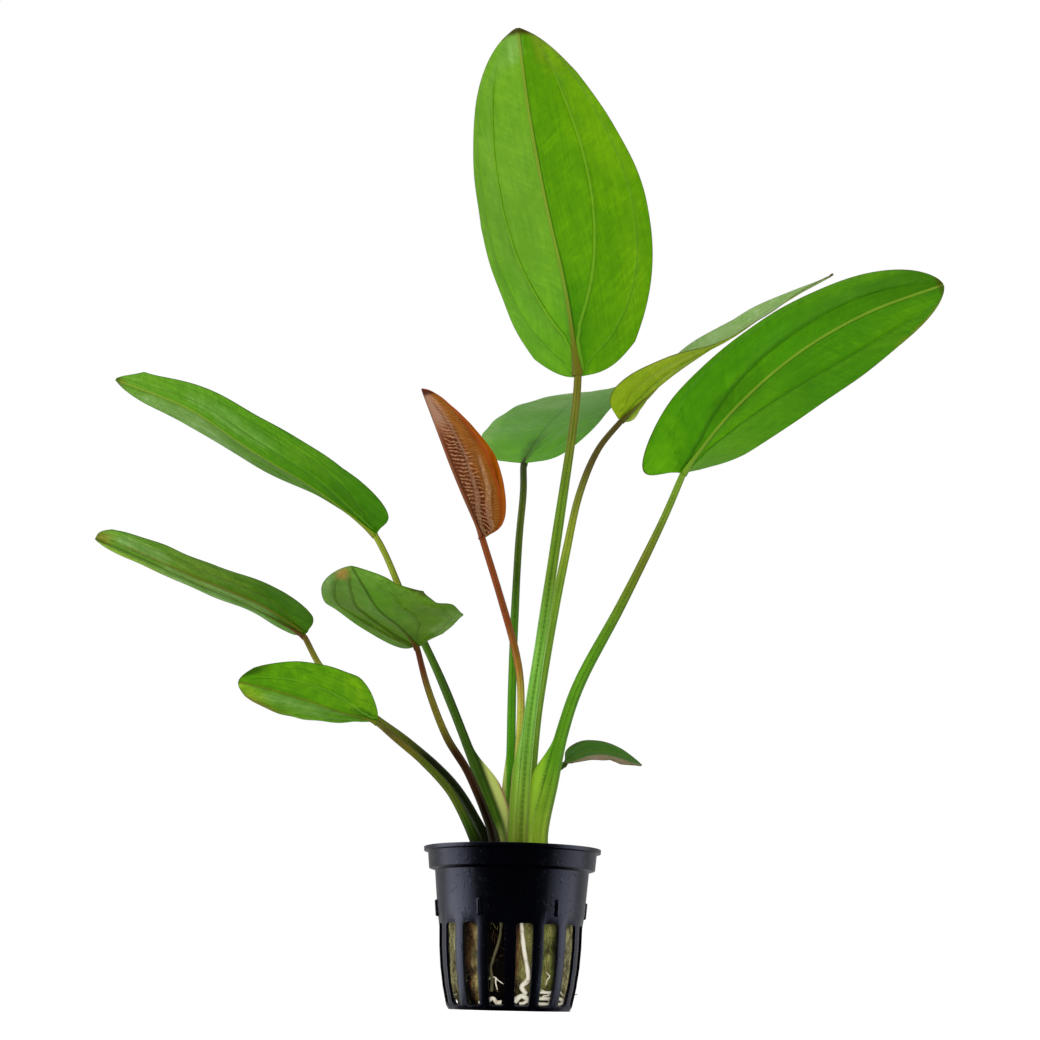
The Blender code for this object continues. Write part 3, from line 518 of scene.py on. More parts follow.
# Colours of the plant: what they are for, then red, green and blue as seen, 0 to 255
COLOURS = {
    "fresh_green": ("Young, light parts of a blade", 92, 156, 8),
    "leaf_green": ("Most blades", 84, 140, 4),
    "mid_green": ("Shaded blades", 66, 128, 6),
    "dark_green": ("The darkest blades", 58, 104, 8),
    "deep_green": ("Upper face of the large blades", 50, 104, 10),
    "grey_green": ("Undersides that catch the sky", 100, 152, 28),
    "cool_green": ("The blade behind the middle", 88, 154, 24),
    "pale_green": ("The far end of the blade behind the middle", 126, 174, 78),
    "sage": ("The twisted blade's upper face", 142, 176, 104),
    "lime": ("The twisted blade's underside", 160, 188, 34),
    "bright_lime": ("The lower left blade", 86, 142, 4),
    "haze_green": ("Far ends of the left blades", 100, 150, 44),
    "cool_leaf": ("Middle of the upper left blade", 80, 138, 20),
    "dull_green": ("Middle of the striped blade", 92, 128, 34),
    "vein_dark": ("Side veins of the right-hand blade", 44, 92, 8),
    "tinge": ("Orange tinge of a tip", 184, 130, 58),
    "dusk_green": ("The blade that comes forward", 86, 122, 24),
    "gold_green": ("Sunlit margin of the tall blade", 104, 154, 6),
    "tan_green": ("The tip of the blade that comes forward", 128, 122, 36),
    "moss": ("Dark stems and the small blade", 50, 78, 14),
    "blackish_green": ("The darkest stem", 20, 26, 6),
    "rust": ("Margins of the young red blade", 140, 60, 14),
    "orange_brown": ("Valleys of the young red blade", 124, 70, 10),
    "red_brown": ("Body of the young red blade", 92, 38, 16),
    "deep_red": ("Keel of the young red blade", 66, 18, 12),
    "ridge_pink": ("Outer ridges of the young red blade", 164, 122, 86),
    "ridge_brown": ("Inner ridges of the young red blade", 146, 104, 82),
    # streak_pink also paints a sheen over the upper part of the young red blade
    "streak_pink": ("Streaks on the young red blade", 178, 128, 92),
    "vein_pale": ("Midribs of green blades", 140, 160, 52),
    "vein_tan": ("Midrib of the tall blade", 138, 142, 54),
    "vein_green": ("Side veins of green blades", 110, 156, 36),
    "vein_soft": ("Faint side veins of green blades", 104, 152, 44),
    "vein_pink": ("Reddish midribs", 140, 96, 62),
    "black_maroon": ("Foot of the darkest red stem", 26, 13, 8),
    "maroon": ("Dark red stems and veins", 52, 26, 14),
    "withered": ("Dying strip of the small blade", 150, 122, 104),
    "margin_brown": ("Edges of the green blades", 62, 48, 14),
    "margin_red": ("Edge of the twisted blade", 74, 34, 24),
    "stem_light": ("Light ribs of the stems", 108, 144, 40),
    "stem_green": ("Green stems", 78, 130, 18),
    "stem_pale": ("Light green lengths of the stems", 104, 156, 54),
    "stem_leaf": ("Upper part of the tall stem", 88, 120, 26),
    "stem_lime": ("Foot of the right-hand stem", 140, 166, 46),
    "stem_bright": ("Stem behind the middle", 70, 138, 14),
    "lime_olive": ("Tops of the left stems", 130, 142, 40),
    "stem_wine": ("Red tops of the left stems", 88, 42, 26),
    "stem_rust": ("Top of the young red blade's stem", 122, 58, 26),
    "bright_orange": ("Inner face of the young red blade", 172, 90, 16),
    # Painted sheen: the greyish pink of the young red blade's upper end
    "ridge_grey": ("Greyish pink upper end of the young blade", 146, 112, 94),
    # Painted light: a lighter khaki that brightens the rock wool in the side slots; the wool there
    # is not drier
    "wool_bright": ("Dry sides of the rock wool", 178, 172, 124),
    "shade_green": ("Green stems in the shade", 62, 96, 14),
    "shade_olive": ("Olive stems in the shade", 76, 90, 22),
    "stem_olive": ("Olive stems", 96, 104, 28),
    "brown_olive": ("Top of the tall stem", 100, 92, 26),
    "brown_grey": ("Top of the twisted blade's stem", 86, 74, 34),
    "gold": ("Stem of the young red blade", 140, 98, 36),
    "sheath_lime": ("Sheath of the right-hand stem", 140, 182, 42),
    "sheath_edge": ("Pink edge of the sheaths", 156, 100, 92),
    "yellow_straw": ("Middle of the young red blade's stem", 180, 182, 70),
    "straw": ("Sheaths at the foot of the stems", 184, 196, 104),
    "pot_black": ("Moulded plastic of the pot", 4, 5, 10),
    "wool_khaki": ("Rock wool", 134, 132, 78),
    "wool_stain": ("Brown stains on the rock wool", 88, 62, 38),
    # wool_hollow is near black; in the rock wool it paints the shade in its hollows
    "wool_hollow": ("Dark hollows of the rock wool", 15, 12, 9),
    "wool_olive": ("Algae on the rock wool", 106, 114, 58),
    "wool_tan": ("Clean parts of the rock wool", 158, 142, 94),
    "root_cream": ("Roots", 232, 226, 206),
    "root_old": ("Dim old root on the left", 84, 80, 52),
    "root_brown": ("Older roots", 150, 118, 78),
    "glow_green": ("Light that comes through the green blades", 146, 200, 12),
    "glow_red": ("Light that comes through the red parts", 180, 76, 26),
}


def paint(red, green, blue):
    """A colour as seen, 0 to 255, as the linear values that shaders take."""
    return tuple((value / 255) ** 2.2 for value in (red, green, blue))


class PlantColours(PropertyGroup):
    """The colours that the plant is painted with."""

    __annotations__ = {
        key: FloatVectorProperty(
            name=key.replace("_", " ").capitalize(), description=use, subtype="COLOR", size=3,
            min=0.0, max=1.0, default=paint(*tint))
        for key, (use, *tint) in COLOURS.items()}


class PlantSizes(PropertyGroup):
    """The sizes of the plant's fine detail."""

    blade_thickness: FloatProperty(
        name="Blade thickness", description="Thickness of a leaf blade between its veins",
        default=0.42 * MM, min=0.1 * MM, max=1.0 * MM, subtype="DISTANCE", unit="LENGTH")
    vein_height: FloatProperty(
        name="Vein height", description="How far the side veins stand out of the underside",
        default=0.42 * MM, min=0.0, max=1.0 * MM, subtype="DISTANCE", unit="LENGTH")
    vein_width: FloatProperty(
        name="Vein half width", description="Half the width of a side vein",
        default=0.34 * MM, min=0.1 * MM, max=1.0 * MM, subtype="DISTANCE", unit="LENGTH")
    blade_rows: IntProperty(
        name="Blade rows", description="Rows of faces along a blade", default=110, min=20,
        max=300)
    stem_rings: IntProperty(
        name="Stem rings", description="Rings of faces along a stem", default=90, min=10,
        max=300)
    rib_depth: FloatProperty(
        name="Rib depth", description="Depth of the grooves between a stem's ribs, as a share",
        default=0.055, min=0.0, max=0.3)
    edge_rounding: FloatProperty(
        name="Pot edge rounding", description="Rounding of the pot's moulded edges",
        default=0.16 * MM, min=0.0, max=0.5 * MM, subtype="DISTANCE", unit="LENGTH")


class StageLight(PropertyGroup):
    """How strongly the studio is lit."""

    surround: FloatProperty(
        name="Surround", description="Brightness of the studio round the plant", default=0.53,
        min=0.0, max=4.0)
    front: FloatProperty(
        name="Front", description="Power of the large soft light in front", default=16.0,
        min=0.0, max=50.0, subtype="POWER")
    key: FloatProperty(
        name="Key", description="Power of the soft light above the left", default=3.0,
        min=0.0, max=50.0, subtype="POWER")


def unit(vectors):
    """The vectors at length one."""
    return vectors / np.linalg.norm(vectors, axis=-1, keepdims=True)


def smooth_curve(points, places):
    """Places (0 to 1, by length) along the smooth curve through the points."""
    knots = np.array(points, dtype=float)
    padded = np.vstack([2 * knots[0] - knots[1], knots, 2 * knots[-1] - knots[-2]])
    steps = np.linspace(0.0, 1.0, 16, endpoint=False)[:, None]
    parts = []
    for start in range(len(knots) - 1):
        before, here, there, after = padded[start:start + 4]
        parts.append(0.5 * (
            2 * here
            + (there - before) * steps
            + (2 * before - 5 * here + 4 * there - after) * steps ** 2
            + (3 * here - before - 3 * there + after) * steps ** 3
        ))
    fine = np.vstack(parts + [knots[-1:]])
    run = np.concatenate([[0.0], np.cumsum(np.linalg.norm(np.diff(fine, axis=0), axis=1))])
    wanted = np.asarray(places) * run[-1]
    return np.stack([np.interp(wanted, run, fine[:, axis]) for axis in range(3)], axis=1)


def smooth_step(value, low, high):
    """0 below low, 1 above high, and smooth in between."""
    share = np.clip((np.asarray(value, dtype=float) - low) / (high - low), 0.0, 1.0)
    return share * share * (3 - 2 * share)


def deselect():
    """Leave edit mode and select nothing."""
    if bpy.context.object and bpy.context.object.mode != "OBJECT":
        bpy.ops.object.mode_set(mode="OBJECT")
    bpy.ops.object.select_all(action="DESELECT")


def pick(piece):
    """Select the piece alone and make it the active one."""
    deselect()
    piece.select_set(True)
    bpy.context.view_layer.objects.active = piece


def add_grid(name, columns, rows):
    """A flat grid of that many columns and rows of vertices, columns running fastest."""
    deselect()
    bpy.ops.mesh.primitive_grid_add(x_subdivisions=columns - 1, y_subdivisions=rows - 1,
                                    size=2.0, calc_uvs=False)
    piece = bpy.context.object
    piece.name = name
    piece.data.name = name
    return piece


def move_vertices(piece, points):
    """Put the piece's vertices at the points, in millimetres."""
    flat = np.asarray(points, dtype=np.float32).reshape(-1) * MM
    piece.data.vertices.foreach_set("co", flat)
    piece.data.update()


def keep_value(piece, name, values):
    """Store one value for each vertex, for the finish to read."""
    attribute = piece.data.attributes.new(name, "FLOAT", "POINT")
    attribute.data.foreach_set("value", np.asarray(values, dtype=np.float32).reshape(-1))


def edit(piece):
    """Enter edit mode on the piece with nothing selected in it."""
    pick(piece)
    bpy.ops.object.mode_set(mode="EDIT")
    bpy.ops.mesh.select_mode(type="VERT")
    bpy.ops.mesh.select_all(action="DESELECT")


def close_seams(piece, distance=0.002 * MM):
    """Merge vertices that lie on each other and turn all faces outwards."""
    edit(piece)
    bpy.ops.mesh.select_all(action="SELECT")
    bpy.ops.mesh.remove_doubles(threshold=distance)
    bpy.ops.mesh.normals_make_consistent(inside=False)
    bpy.ops.object.mode_set(mode="OBJECT")


def select_faces(piece, chosen):
    """Enter edit mode with the chosen faces selected, given as true or false for each."""
    edit(piece)
    bpy.ops.mesh.select_mode(type="FACE")
    bpy.ops.object.mode_set(mode="OBJECT")
    piece.data.polygons.foreach_set("select", np.asarray(chosen, dtype=bool).reshape(-1))
    bpy.ops.object.mode_set(mode="EDIT")


def delete_faces(piece, chosen):
    """Delete the chosen faces, given as one true or false for each."""
    select_faces(piece, chosen)
    bpy.ops.mesh.delete(type="FACE")
    bpy.ops.object.mode_set(mode="OBJECT")


def apply_modifiers(piece):
    """Apply all of the piece's modifiers, first to last."""
    pick(piece)
    for modifier in list(piece.modifiers):
        bpy.ops.object.modifier_apply(modifier=modifier.name)


def join_pieces(pieces, name):
    """Make one piece of several, with the first one's material."""
    deselect()
    for piece in pieces:
        piece.select_set(True)
    bpy.context.view_layer.objects.active = pieces[0]
    bpy.ops.object.join()
    pieces[0].name = name
    pieces[0].data.name = name
    return pieces[0]


def shade(piece, sharp_angle):
    """Smooth shading, with edges over the angle kept sharp."""
    pick(piece)
    bpy.ops.object.shade_smooth_by_angle(angle=math.radians(sharp_angle))


def install(piece, slot, *nodes):
    """The piece rides on the plant and stands for its solids. Its slot is not used."""
    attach(piece, BODY)
    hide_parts(*nodes)


def name_seed(name, share):
    """A number of its own for each name, to start its noise from."""
    return sum(ord(letter) for letter in name) * share


class Value:
    """A shader socket that sums, products and layers of colour can be written with."""

    def __init__(self, nodes, socket):
        self.nodes = nodes
        self.socket = socket

    def __add__(self, other):
        return self.nodes.math("ADD", self, other)

    __radd__ = __add__

    def __sub__(self, other):
        return self.nodes.math("SUBTRACT", self, other)

    def __rsub__(self, other):
        return self.nodes.math("SUBTRACT", other, self)

    def __mul__(self, other):
        return self.nodes.math("MULTIPLY", self, other)

    __rmul__ = __mul__

    def __truediv__(self, other):
        return self.nodes.math("DIVIDE", self, other)

    def step(self, low, high):
        """0 at low and 1 at high, with a smooth rise or fall in between."""
        return self.nodes.node("ShaderNodeMapRange", {"interpolation_type": "SMOOTHSTEP"},
                               {0: self, 1: low, 2: high, 3: 0.0, 4: 1.0})

    def sine(self):
        """The sine of the value, in radians."""
        return self.nodes.math("SINE", self)

    def under(self, share, tint):
        """The colour with another one over it, by a share."""
        return self.nodes.mix(share, self, tint)

    def tinted(self, red, green, blue):
        """The colour with its red, green and blue made stronger or weaker."""
        return self.nodes.node("ShaderNodeVectorMath", {"operation": "MULTIPLY"},
                               {0: self, 1: (red, green, blue)})

    def stained(self, share, red, green, blue):
        """The colour, by a share, with its red, green and blue made stronger or weaker."""
        return self.under(share, self.tinted(red, green, blue))


class Nodes:
    """A tree of shader nodes, with one method for each thing that finishes are built of."""

    def __init__(self, tree):
        self.tree = tree
        self.tree.nodes.clear()
        self.colours = bpy.context.scene.plant_colours

    def add(self, kind, settings=None, inputs=None):
        """Any node: its settings first, then values or links into its sockets."""
        made = self.tree.nodes.new(kind)
        for key, value in (settings or {}).items():
            setattr(made, key, value)
        for key, value in (inputs or {}).items():
            if isinstance(value, Value):
                self.tree.links.new(value.socket, made.inputs[key])
            else:
                made.inputs[key].default_value = value
        return made

    def node(self, kind, settings=None, inputs=None, output=0):
        """What a node gives out."""
        return Value(self, self.add(kind, settings, inputs).outputs[output])

    def tint(self, name, share=1.0):
        """A colour of the plant by its name, made lighter or darker by one or three shares."""
        return tuple(np.minimum(np.array(getattr(self.colours, name)) * share, 1.0))

    def solid(self, tint):
        """A colour as a socket takes it, from a value, a colour's name or three numbers."""
        if isinstance(tint, Value):
            return tint
        return (*(self.tint(tint) if isinstance(tint, str) else tint), 1.0)

    def math(self, operation, first, second=0.0):
        """One step of arithmetic."""
        return self.node("ShaderNodeMath", {"operation": operation}, {0: first, 1: second})

    def most(self, first, second):
        """The larger of two values."""
        return self.math("MAXIMUM", first, second)

    def stored(self, name):
        """A value stored on the mesh."""
        return self.node("ShaderNodeAttribute", {"attribute_name": name}, output="Fac")

    def place(self, x=1.0, y=1.0, z=1.0):
        """The point on the piece, in metres, stretched along the axes."""
        point = self.node("ShaderNodeTexCoord", output="Object")
        return self.node("ShaderNodeVectorMath", {"operation": "MULTIPLY"},
                         {0: point, 1: (x, y, z)})

    def spot(self, x, y, z=0.0):
        """A vector from three values."""
        return self.node("ShaderNodeCombineXYZ", None, {0: x, 1: y, 2: z})

    def parts(self, vector):
        """The three values of a vector."""
        split = self.add("ShaderNodeSeparateXYZ", None, {0: vector})
        return [Value(self, output) for output in split.outputs]

    def noise(self, point, scale=1.0, detail=3.0, roughness=0.5):
        """Soft noise, 0 to 1."""
        return self.node("ShaderNodeTexNoise", None, {
            "Vector": point, "Scale": scale, "Detail": detail, "Roughness": roughness})

    def ramp(self, value, tints):
        """Colours spread evenly from 0 to 1, or at the places given with them."""
        if isinstance(tints[0], str):
            tints = [(order / (len(tints) - 1), tint) for order, tint in enumerate(tints)]
        made = self.add("ShaderNodeValToRGB", None, {0: value})
        stops = made.color_ramp.elements
        while len(stops) < len(tints):
            stops.new(1.0)
        for stop, (place, tint) in zip(stops, tints):
            stop.position = place
            stop.color = self.solid(tint)
        return Value(self, made.outputs[0])

    def mix(self, share, first, second):
        """The second colour over the first, by a share."""
        return self.node("ShaderNodeMix", {"data_type": "RGBA"},
                         {0: share, 6: self.solid(first), 7: self.solid(second)}, output=2)

    def bump(self, height, depth, strength):
        """A normal from a height of 0 to 1 that stands for that depth in metres."""
        return self.node("ShaderNodeBump", None,
                         {"Height": height, "Distance": depth, "Strength": strength})

    def surface(self, **inputs):
        """A Principled surface. Words in the names are joined by underscores."""
        sockets = {key.replace("_", " "): value for key, value in inputs.items()}
        return self.node("ShaderNodeBsdfPrincipled", None, sockets)

    def glow(self, surface, share, tint):
        """Light that comes through from behind, over the surface."""
        through = self.node("ShaderNodeBsdfTranslucent", None, {"Color": self.solid(tint)})
        return self.node("ShaderNodeMixShader", None, {0: share, 1: surface, 2: through})


class Finish(Nodes):
    """A material that is built from nodes."""

    def __init__(self, name):
        self.material = bpy.data.materials.new(name)
        self.material.use_nodes = True
        super().__init__(self.material.node_tree)

    def done(self, shader):
        """Link the shader to the material's output and return the material."""
        self.add("ShaderNodeOutputMaterial", None, {"Surface": shader})
        return self.material


def blade_frames(leaf, places):
    """Midrib points, their directions, the upper face's direction and the side's."""
    reach = 0.02
    here = smooth_curve(leaf["midrib"], places)
    behind = smooth_curve(leaf["midrib"], np.maximum(places - reach, 0.0))
    ahead = smooth_curve(leaf["midrib"], np.minimum(places + reach, 1.0))
    along = unit(ahead - behind)
    face = np.array(leaf["face"], dtype=float)
    face = unit(face - (along @ face)[:, None] * along)
    at_base, at_middle, at_tip = leaf["turn"]
    turn = np.radians(
        at_base * (1 - places) * (1 - 2 * places)
        + at_middle * 4 * places * (1 - places)
        + at_tip * places * (2 * places - 1))[:, None]
    face = face * np.cos(turn) + np.cross(along, face) * np.sin(turn)
    return here, along, face, np.cross(along, face)


def half_widths(leaf, places, side, neck):
    """Distances from the midrib to the blade's edge, never under the neck or the tip."""
    widest = leaf["widest"]
    power, fullness = leaf["tip"]
    low = np.clip((widest - places) / widest, 0.0, 1.0)
    high = np.clip((places - widest) / (1 - widest), 0.0, 1.0)
    below = leaf["half"][side] * (1 - low ** 2) ** (1 / leaf["base"][side])
    above = leaf["half"][side] * (1 - high ** power) ** (1 / fullness)
    return np.where(places < widest, np.maximum(below, neck),
                    np.maximum(above, TIP_HALF_WIDTH))


def midrib_share(places):
    """How much of the stem's thickness is left in the midrib at some places."""
    return (0.26 + 0.74 * np.exp(-places / 0.055)) * (1 - 0.3 * places)


def swell_between(reach, centres, most):
    """How far the blade swells up between its veins, in millimetres."""
    swell = 0 * reach
    for inner, outer in zip(centres, centres[1:]):
        inner, outer = inner[:, None], outer[:, None]
        gap = np.maximum(outer - inner, 0.01)
        share = np.clip((reach - inner) / gap, 0.0, 1.0)
        swell = swell + most * np.sin(np.pi * share) ** 1.3 * np.clip(gap / FULL_SWELL, 0.0, 1.0)
    return swell


def blade_columns(leaf, side, places, sizes):
    """One side of a blade: how far out each column runs and what is raised there."""
    neck = leaf["stem_radius"][-1]
    edge = half_widths(leaf, places, side, neck)
    for corner_side, place, reach, length in leaf["corners"]:
        if corner_side == side:
            edge = edge + reach * np.exp(-np.abs(places - place) / length)
    tight = 0.92 - 0.47 * smooth_step(places, 0.0, 0.08)
    ridge = np.minimum(neck * midrib_share(places), tight * edge)
    width = sizes.vein_width / MM * (1.15 - 0.6 * places) * leaf["vein_width"]
    shaded = (1 if side == 0 else -1) == leaf["painted_shade_side"]
    veins = leaf["veins"][side]
    centres = [0 * edge]
    for start, far, rise, _ in veins:
        free = far * (1 - np.exp(-np.maximum(places - start, 0.0) / rise)) * edge
        first = 1.05 * ridge + 0.9 * width
        near = centres[-1] + (first if len(centres) == 1 else VEIN_GAP * width)
        beyond = free - near
        parted = near + 0.5 * (beyond + np.sqrt(beyond ** 2 + VEIN_BEND ** 2))
        centres.append(np.minimum(parted, VEIN_LIMIT * edge))
    room = (centres[1] - 1.2 * width) / ridge - RIDGE_FOOT
    room = np.clip(room / (RIDGE_COLUMNS[-1][0] - RIDGE_FOOT), 0.02, 1.0)
    marks = []
    for offset, height, crease in RIDGE_COLUMNS:
        beyond = max(offset - RIDGE_FOOT, 0.0)
        marks.append(ridge * (min(offset, RIDGE_FOOT) + beyond * room))
    ridge_heights = [height for offset, height, crease in RIDGE_COLUMNS]
    vein_heights = [0 * ridge] * len(RIDGE_COLUMNS)
    # Painted shade in the crease next to the midrib, on the shaded side only
    crease_shades = [shaded * crease + 0 * ridge for offset, height, crease in RIDGE_COLUMNS]
    groups = []
    for order, centre in enumerate(centres[1:]):
        apart = np.clip((centre - centres[order] - 0.9 * ridge * (order == 0)) / (3 * width),
                        0.1, 1.0)
        clear = smooth_step(edge - centre, 0.6, 2.0) * smooth_step(places, 0.0, 0.03)
        fade = clear * (1 - smooth_step(places, 0.82, 0.99)) * (1.05 - 0.45 * places)
        fade = fade * veins[order][3]
        # Painted shade in the crease next to each side vein, on the shaded side only
        groups.append([(centre + width * offset * (apart if offset < 0 else 1.0),
                        fade * height, fade * crease * ((offset > 0) == shaded))
                       for offset, height, crease in VEIN_COLUMNS])
    centres.append(edge)
    groups.append([(edge - inset, 0 * edge, 0 * edge) for inset in MARGIN_COLUMNS])
    for group in groups:
        last = marks[-1]
        first = group[0][0]
        for order in range(1, FILL_COLUMNS + 1):
            marks.append(last + (first - last) * order / (FILL_COLUMNS + 1))
            vein_heights.append(0 * edge)
            crease_shades.append(0 * edge)
        for place, height, crease in group:
            marks.append(place)
            vein_heights.append(height)
            crease_shades.append(crease)
    ridge_heights += [0.0] * (len(marks) - len(ridge_heights))
    gaps = np.maximum(np.diff(np.stack(marks, axis=1), axis=1), NARROWEST_COLUMN * edge[:, None])
    reach = np.concatenate([0 * edge[:, None], np.cumsum(gaps, axis=1)], axis=1)
    reach *= (edge / reach[:, -1])[:, None]
    ridges = np.broadcast_to(np.array(ridge_heights), reach.shape)
    raised = np.stack(vein_heights, axis=1)
    return edge, ridge, reach, ridges, raised, np.stack(crease_shades, axis=1), centres


def lay_blade(piece, leaf, name, sizes):
    """Move a flat grid into the leaf's form and store what its finish and thickness need."""
    neck = leaf["stem_radius"][-1]
    run = np.linspace(0.0, 1.0, sizes.blade_rows)
    places = 0.35 * run + 0.65 * (0.5 - 0.5 * np.cos(np.pi * run))
    here, along, face, across = (part[:, None, :] for part in blade_frames(leaf, places))
    seed = name_seed(name, 0.37)
    halves = []
    for side, sign in ((0, 1), (1, -1)):
        edge, ridge, reach, ridges, veins, crease_shades, centres = blade_columns(
            leaf, side, places, sizes)
        share = reach / edge[:, None]
        angle = np.radians(leaf["fold"][side] + leaf["curl"] * share / 2)
        back = leaf["lobe"][side] * share ** 1.5
        back *= (places / LOBE_PLACE * np.exp(1 - places / LOBE_PLACE))[:, None]
        lift = swell_between(reach, centres, leaf["swell"])
        lift -= leaf["pleats"] * np.clip(reach / 3, 0, 1) * np.clip(
            (edge[:, None] - reach) / 3, 0, 1)
        lift *= smooth_step(places, 0.0, 0.12)[:, None]
        by_ridge = np.clip(1 - reach / (1.6 * ridge[:, None]), 0, 1)
        lift -= RIDGE_SINK * ridge[:, None] * by_ridge ** 2
        lift -= VEIN_SINK * veins
        size, waves, start = leaf["ripple"][side]
        wave = size * share ** 3 * np.sin(2 * np.pi * waves * places + start)[:, None]
        lift += wave * (smooth_step(places, 0.05, 0.2) * edge / edge.max())[:, None]
        rough = np.array([[noise.noise(Vector((7 * place, 1.7 * sign * out, seed)))
                           for out in row] for place, row in zip(places, share)])
        lift += UNEVENNESS * rough * np.clip(reach / 6, 0, 1)
        cosine, sine = np.cos(angle)[..., None], np.sin(angle)[..., None]
        surface = face * cosine - sign * across * sine
        points = (here + sign * across * reach[..., None] * cosine
                  + face * reach[..., None] * sine - along * back[..., None]
                  + surface * lift[..., None])
        midrib = np.maximum(2 * neck * midrib_share(places), MIDRIB_TIP)[:, None]
        plain = sizes.blade_thickness / MM * (1 - 0.45 * smooth_step(share, 0.75, 1.0))
        thick = plain + ridges * np.maximum(midrib - plain, 0.0)
        thick = thick + veins * sizes.vein_height / MM
        # crease holds how much painted shade falls there
        values = {"across": sign * share, "across_mm": sign * reach, "ridge": ridges,
                  "vein": veins, "thick": thick, "crease": crease_shades,
                  "inset": edge[:, None] - reach}
        halves.append((points, values))
    (plus, plus_values), (minus, minus_values) = halves
    move_vertices(piece, np.concatenate([minus[:, :0:-1], plus], axis=1))
    length = np.linalg.norm(np.diff(smooth_curve(leaf["midrib"], run), axis=0), axis=1).sum()
    columns = plus.shape[1] + minus.shape[1] - 1
    keep_value(piece, "along", np.repeat(places, columns))
    keep_value(piece, "along_mm", np.repeat(places * length, columns))
    for key in ("across", "across_mm", "ridge", "vein", "crease", "inset"):
        keep_value(piece, key, np.concatenate(
            [minus_values[key][:, :0:-1], plus_values[key]], axis=1))
    return np.concatenate([minus_values["thick"][:, :0:-1], plus_values["thick"]], axis=1)


def column_count(leaf):
    """How many columns of vertices a blade has."""
    count = 1
    for veins in leaf["veins"]:
        count += len(RIDGE_COLUMNS) - 1
        count += len(veins) * (len(VEIN_COLUMNS) + FILL_COLUMNS)
        count += len(MARGIN_COLUMNS) + FILL_COLUMNS
    return count


def thicken(piece, thick):
    """Give the blade its thickness below its upper face, as much as each vertex asks."""
    thick = thick.reshape(-1)
    most = float(thick.max())
    group = piece.vertex_groups.new(name="thickness")
    for index, value in enumerate(thick):
        group.add([index], float(value) / most, "REPLACE")
    solid = piece.modifiers.new("thickness", "SOLIDIFY")
    solid.thickness = most * MM
    solid.vertex_group = group.name
    solid.thickness_vertex_group = 0.0
    solid.offset = -1.0
    solid.material_offset = 1
    solid.material_offset_rim = 1
    apply_modifiers(piece)
    piece.vertex_groups.clear()


def tube_frames(spine):
    """Directions to the front and to the right of each point of a spine."""
    along = unit(np.gradient(spine, axis=0))
    front = np.zeros_like(spine)
    before = np.array([0.0, -1.0, 0.0])
    for ring in range(len(spine)):
        before = unit(before - before.dot(along[ring]) * along[ring])
        front[ring] = before
    return front, np.cross(along, front)


def add_tube(name, spine, radii, angles):
    """A closed tube along the spine, with one radius for each ring and each angle."""
    piece = add_grid(name, len(angles), len(spine) + 2)
    front, right = tube_frames(spine)
    turn = angles[None, :, None]
    out = front[:, None] * np.cos(turn) + right[:, None] * np.sin(turn)
    points = spine[:, None] + out * radii[..., None]
    first = np.broadcast_to(spine[0], points[:1].shape)
    last = np.broadcast_to(spine[-1], points[:1].shape)
    move_vertices(piece, np.concatenate([first, points, last]))
    return piece


def ring_values(values):
    """Values for each ring of a tube, with its two closed ends added."""
    return np.concatenate([values[:1], values, values[-1:]])


def rib_count(leaf):
    """How many ribs a stem has."""
    return 5 if leaf["stem_radius"][1] < THIN_STEM else 7


def add_petiole(name, leaf, sizes):
    """A leaf's stem: ribbed, winged where it sheathes the crown, running into the midrib."""
    neck = leaf["stem_radius"][-1]
    here, along, face, _ = blade_frames(leaf, np.array([0.0]))
    joint = here[0] - face[0] * neck * math.cos(math.radians(sum(leaf["fold"]) / 2))
    sunk = joint + along[0] * STEM_END * neck + face[0] * STEM_SINK * neck
    foot_x, foot_y = leaf["foot"]
    points = ((foot_x, foot_y, STEM_FOOT), (foot_x, foot_y, CROWN_TOP + STEM_RISE),
              *leaf["stem"], tuple(joint), tuple(sunk))
    length = np.linalg.norm(np.diff(np.array(points), axis=0), axis=1).sum()
    end_share = STEM_END * neck / length
    places = np.linspace(0.0, 1.0, sizes.stem_rings)
    spine = smooth_curve(points, places)
    side, wing, end = STEM_LOOKS[name]["sheath"][:3]
    side = math.radians(side)
    turn = np.linspace(-math.pi, math.pi, STEM_ANGLES)
    angles = side + turn - WING_CROWDING * np.sin(turn)
    base = np.interp(places, (0.0, SHEATH_SHARE, 1 - end_share, 1.0),
                     (*leaf["stem_radius"], neck * STEM_TIP))[:, None]
    ribs = rib_count(leaf)
    groove = 0.5 + 0.5 * np.cos(ribs * angles)[None, :]
    groove = groove ** 4 * smooth_step(places, *GROOVE_START)[:, None]
    heights = spine[:, 2][:, None]
    fin = np.exp(-((angles - side) / WING_SPREAD) ** 2)[None, :]
    fin = fin * (1 - smooth_step(heights, end - WING_FADE, end))
    fin = fin * smooth_step(heights, *WING_START)
    seed = name_seed(name, 0.53)
    rough = np.array([noise.noise(Vector((place * 9, 0.0, seed))) for place in places])
    radii = base * (1 - sizes.rib_depth * 1.6 * groove) * (1 + 0.05 * rough[:, None])
    radii = radii + wing * fin
    piece = add_tube("petiole_" + name, spine, radii, angles)
    shape = (len(places), len(angles))
    run = np.concatenate([[0.0], np.cumsum(np.linalg.norm(np.diff(spine, axis=0), axis=1))])
    for key, values in (
            ("along", np.broadcast_to(places[:, None], shape)),
            ("along_mm", np.broadcast_to(run[:, None], shape)),
            ("groove", np.broadcast_to(groove, shape)),
            ("right", np.broadcast_to(np.sin(angles)[None, :], shape)),
            ("front", np.broadcast_to(np.cos(angles)[None, :], shape)),
            ("sheath", np.broadcast_to(fin, shape))):
        keep_value(piece, key, ring_values(values))
    close_seams(piece)
    shade(piece, 60)
    return piece


def inner_radius(height):
    """Radius of the inside of the pot wall at a height."""
    radii = [radius for radius, level in POT_OUTER]
    levels = [level for radius, level in POT_OUTER]
    return np.interp(height, levels, radii) - POT_WALL


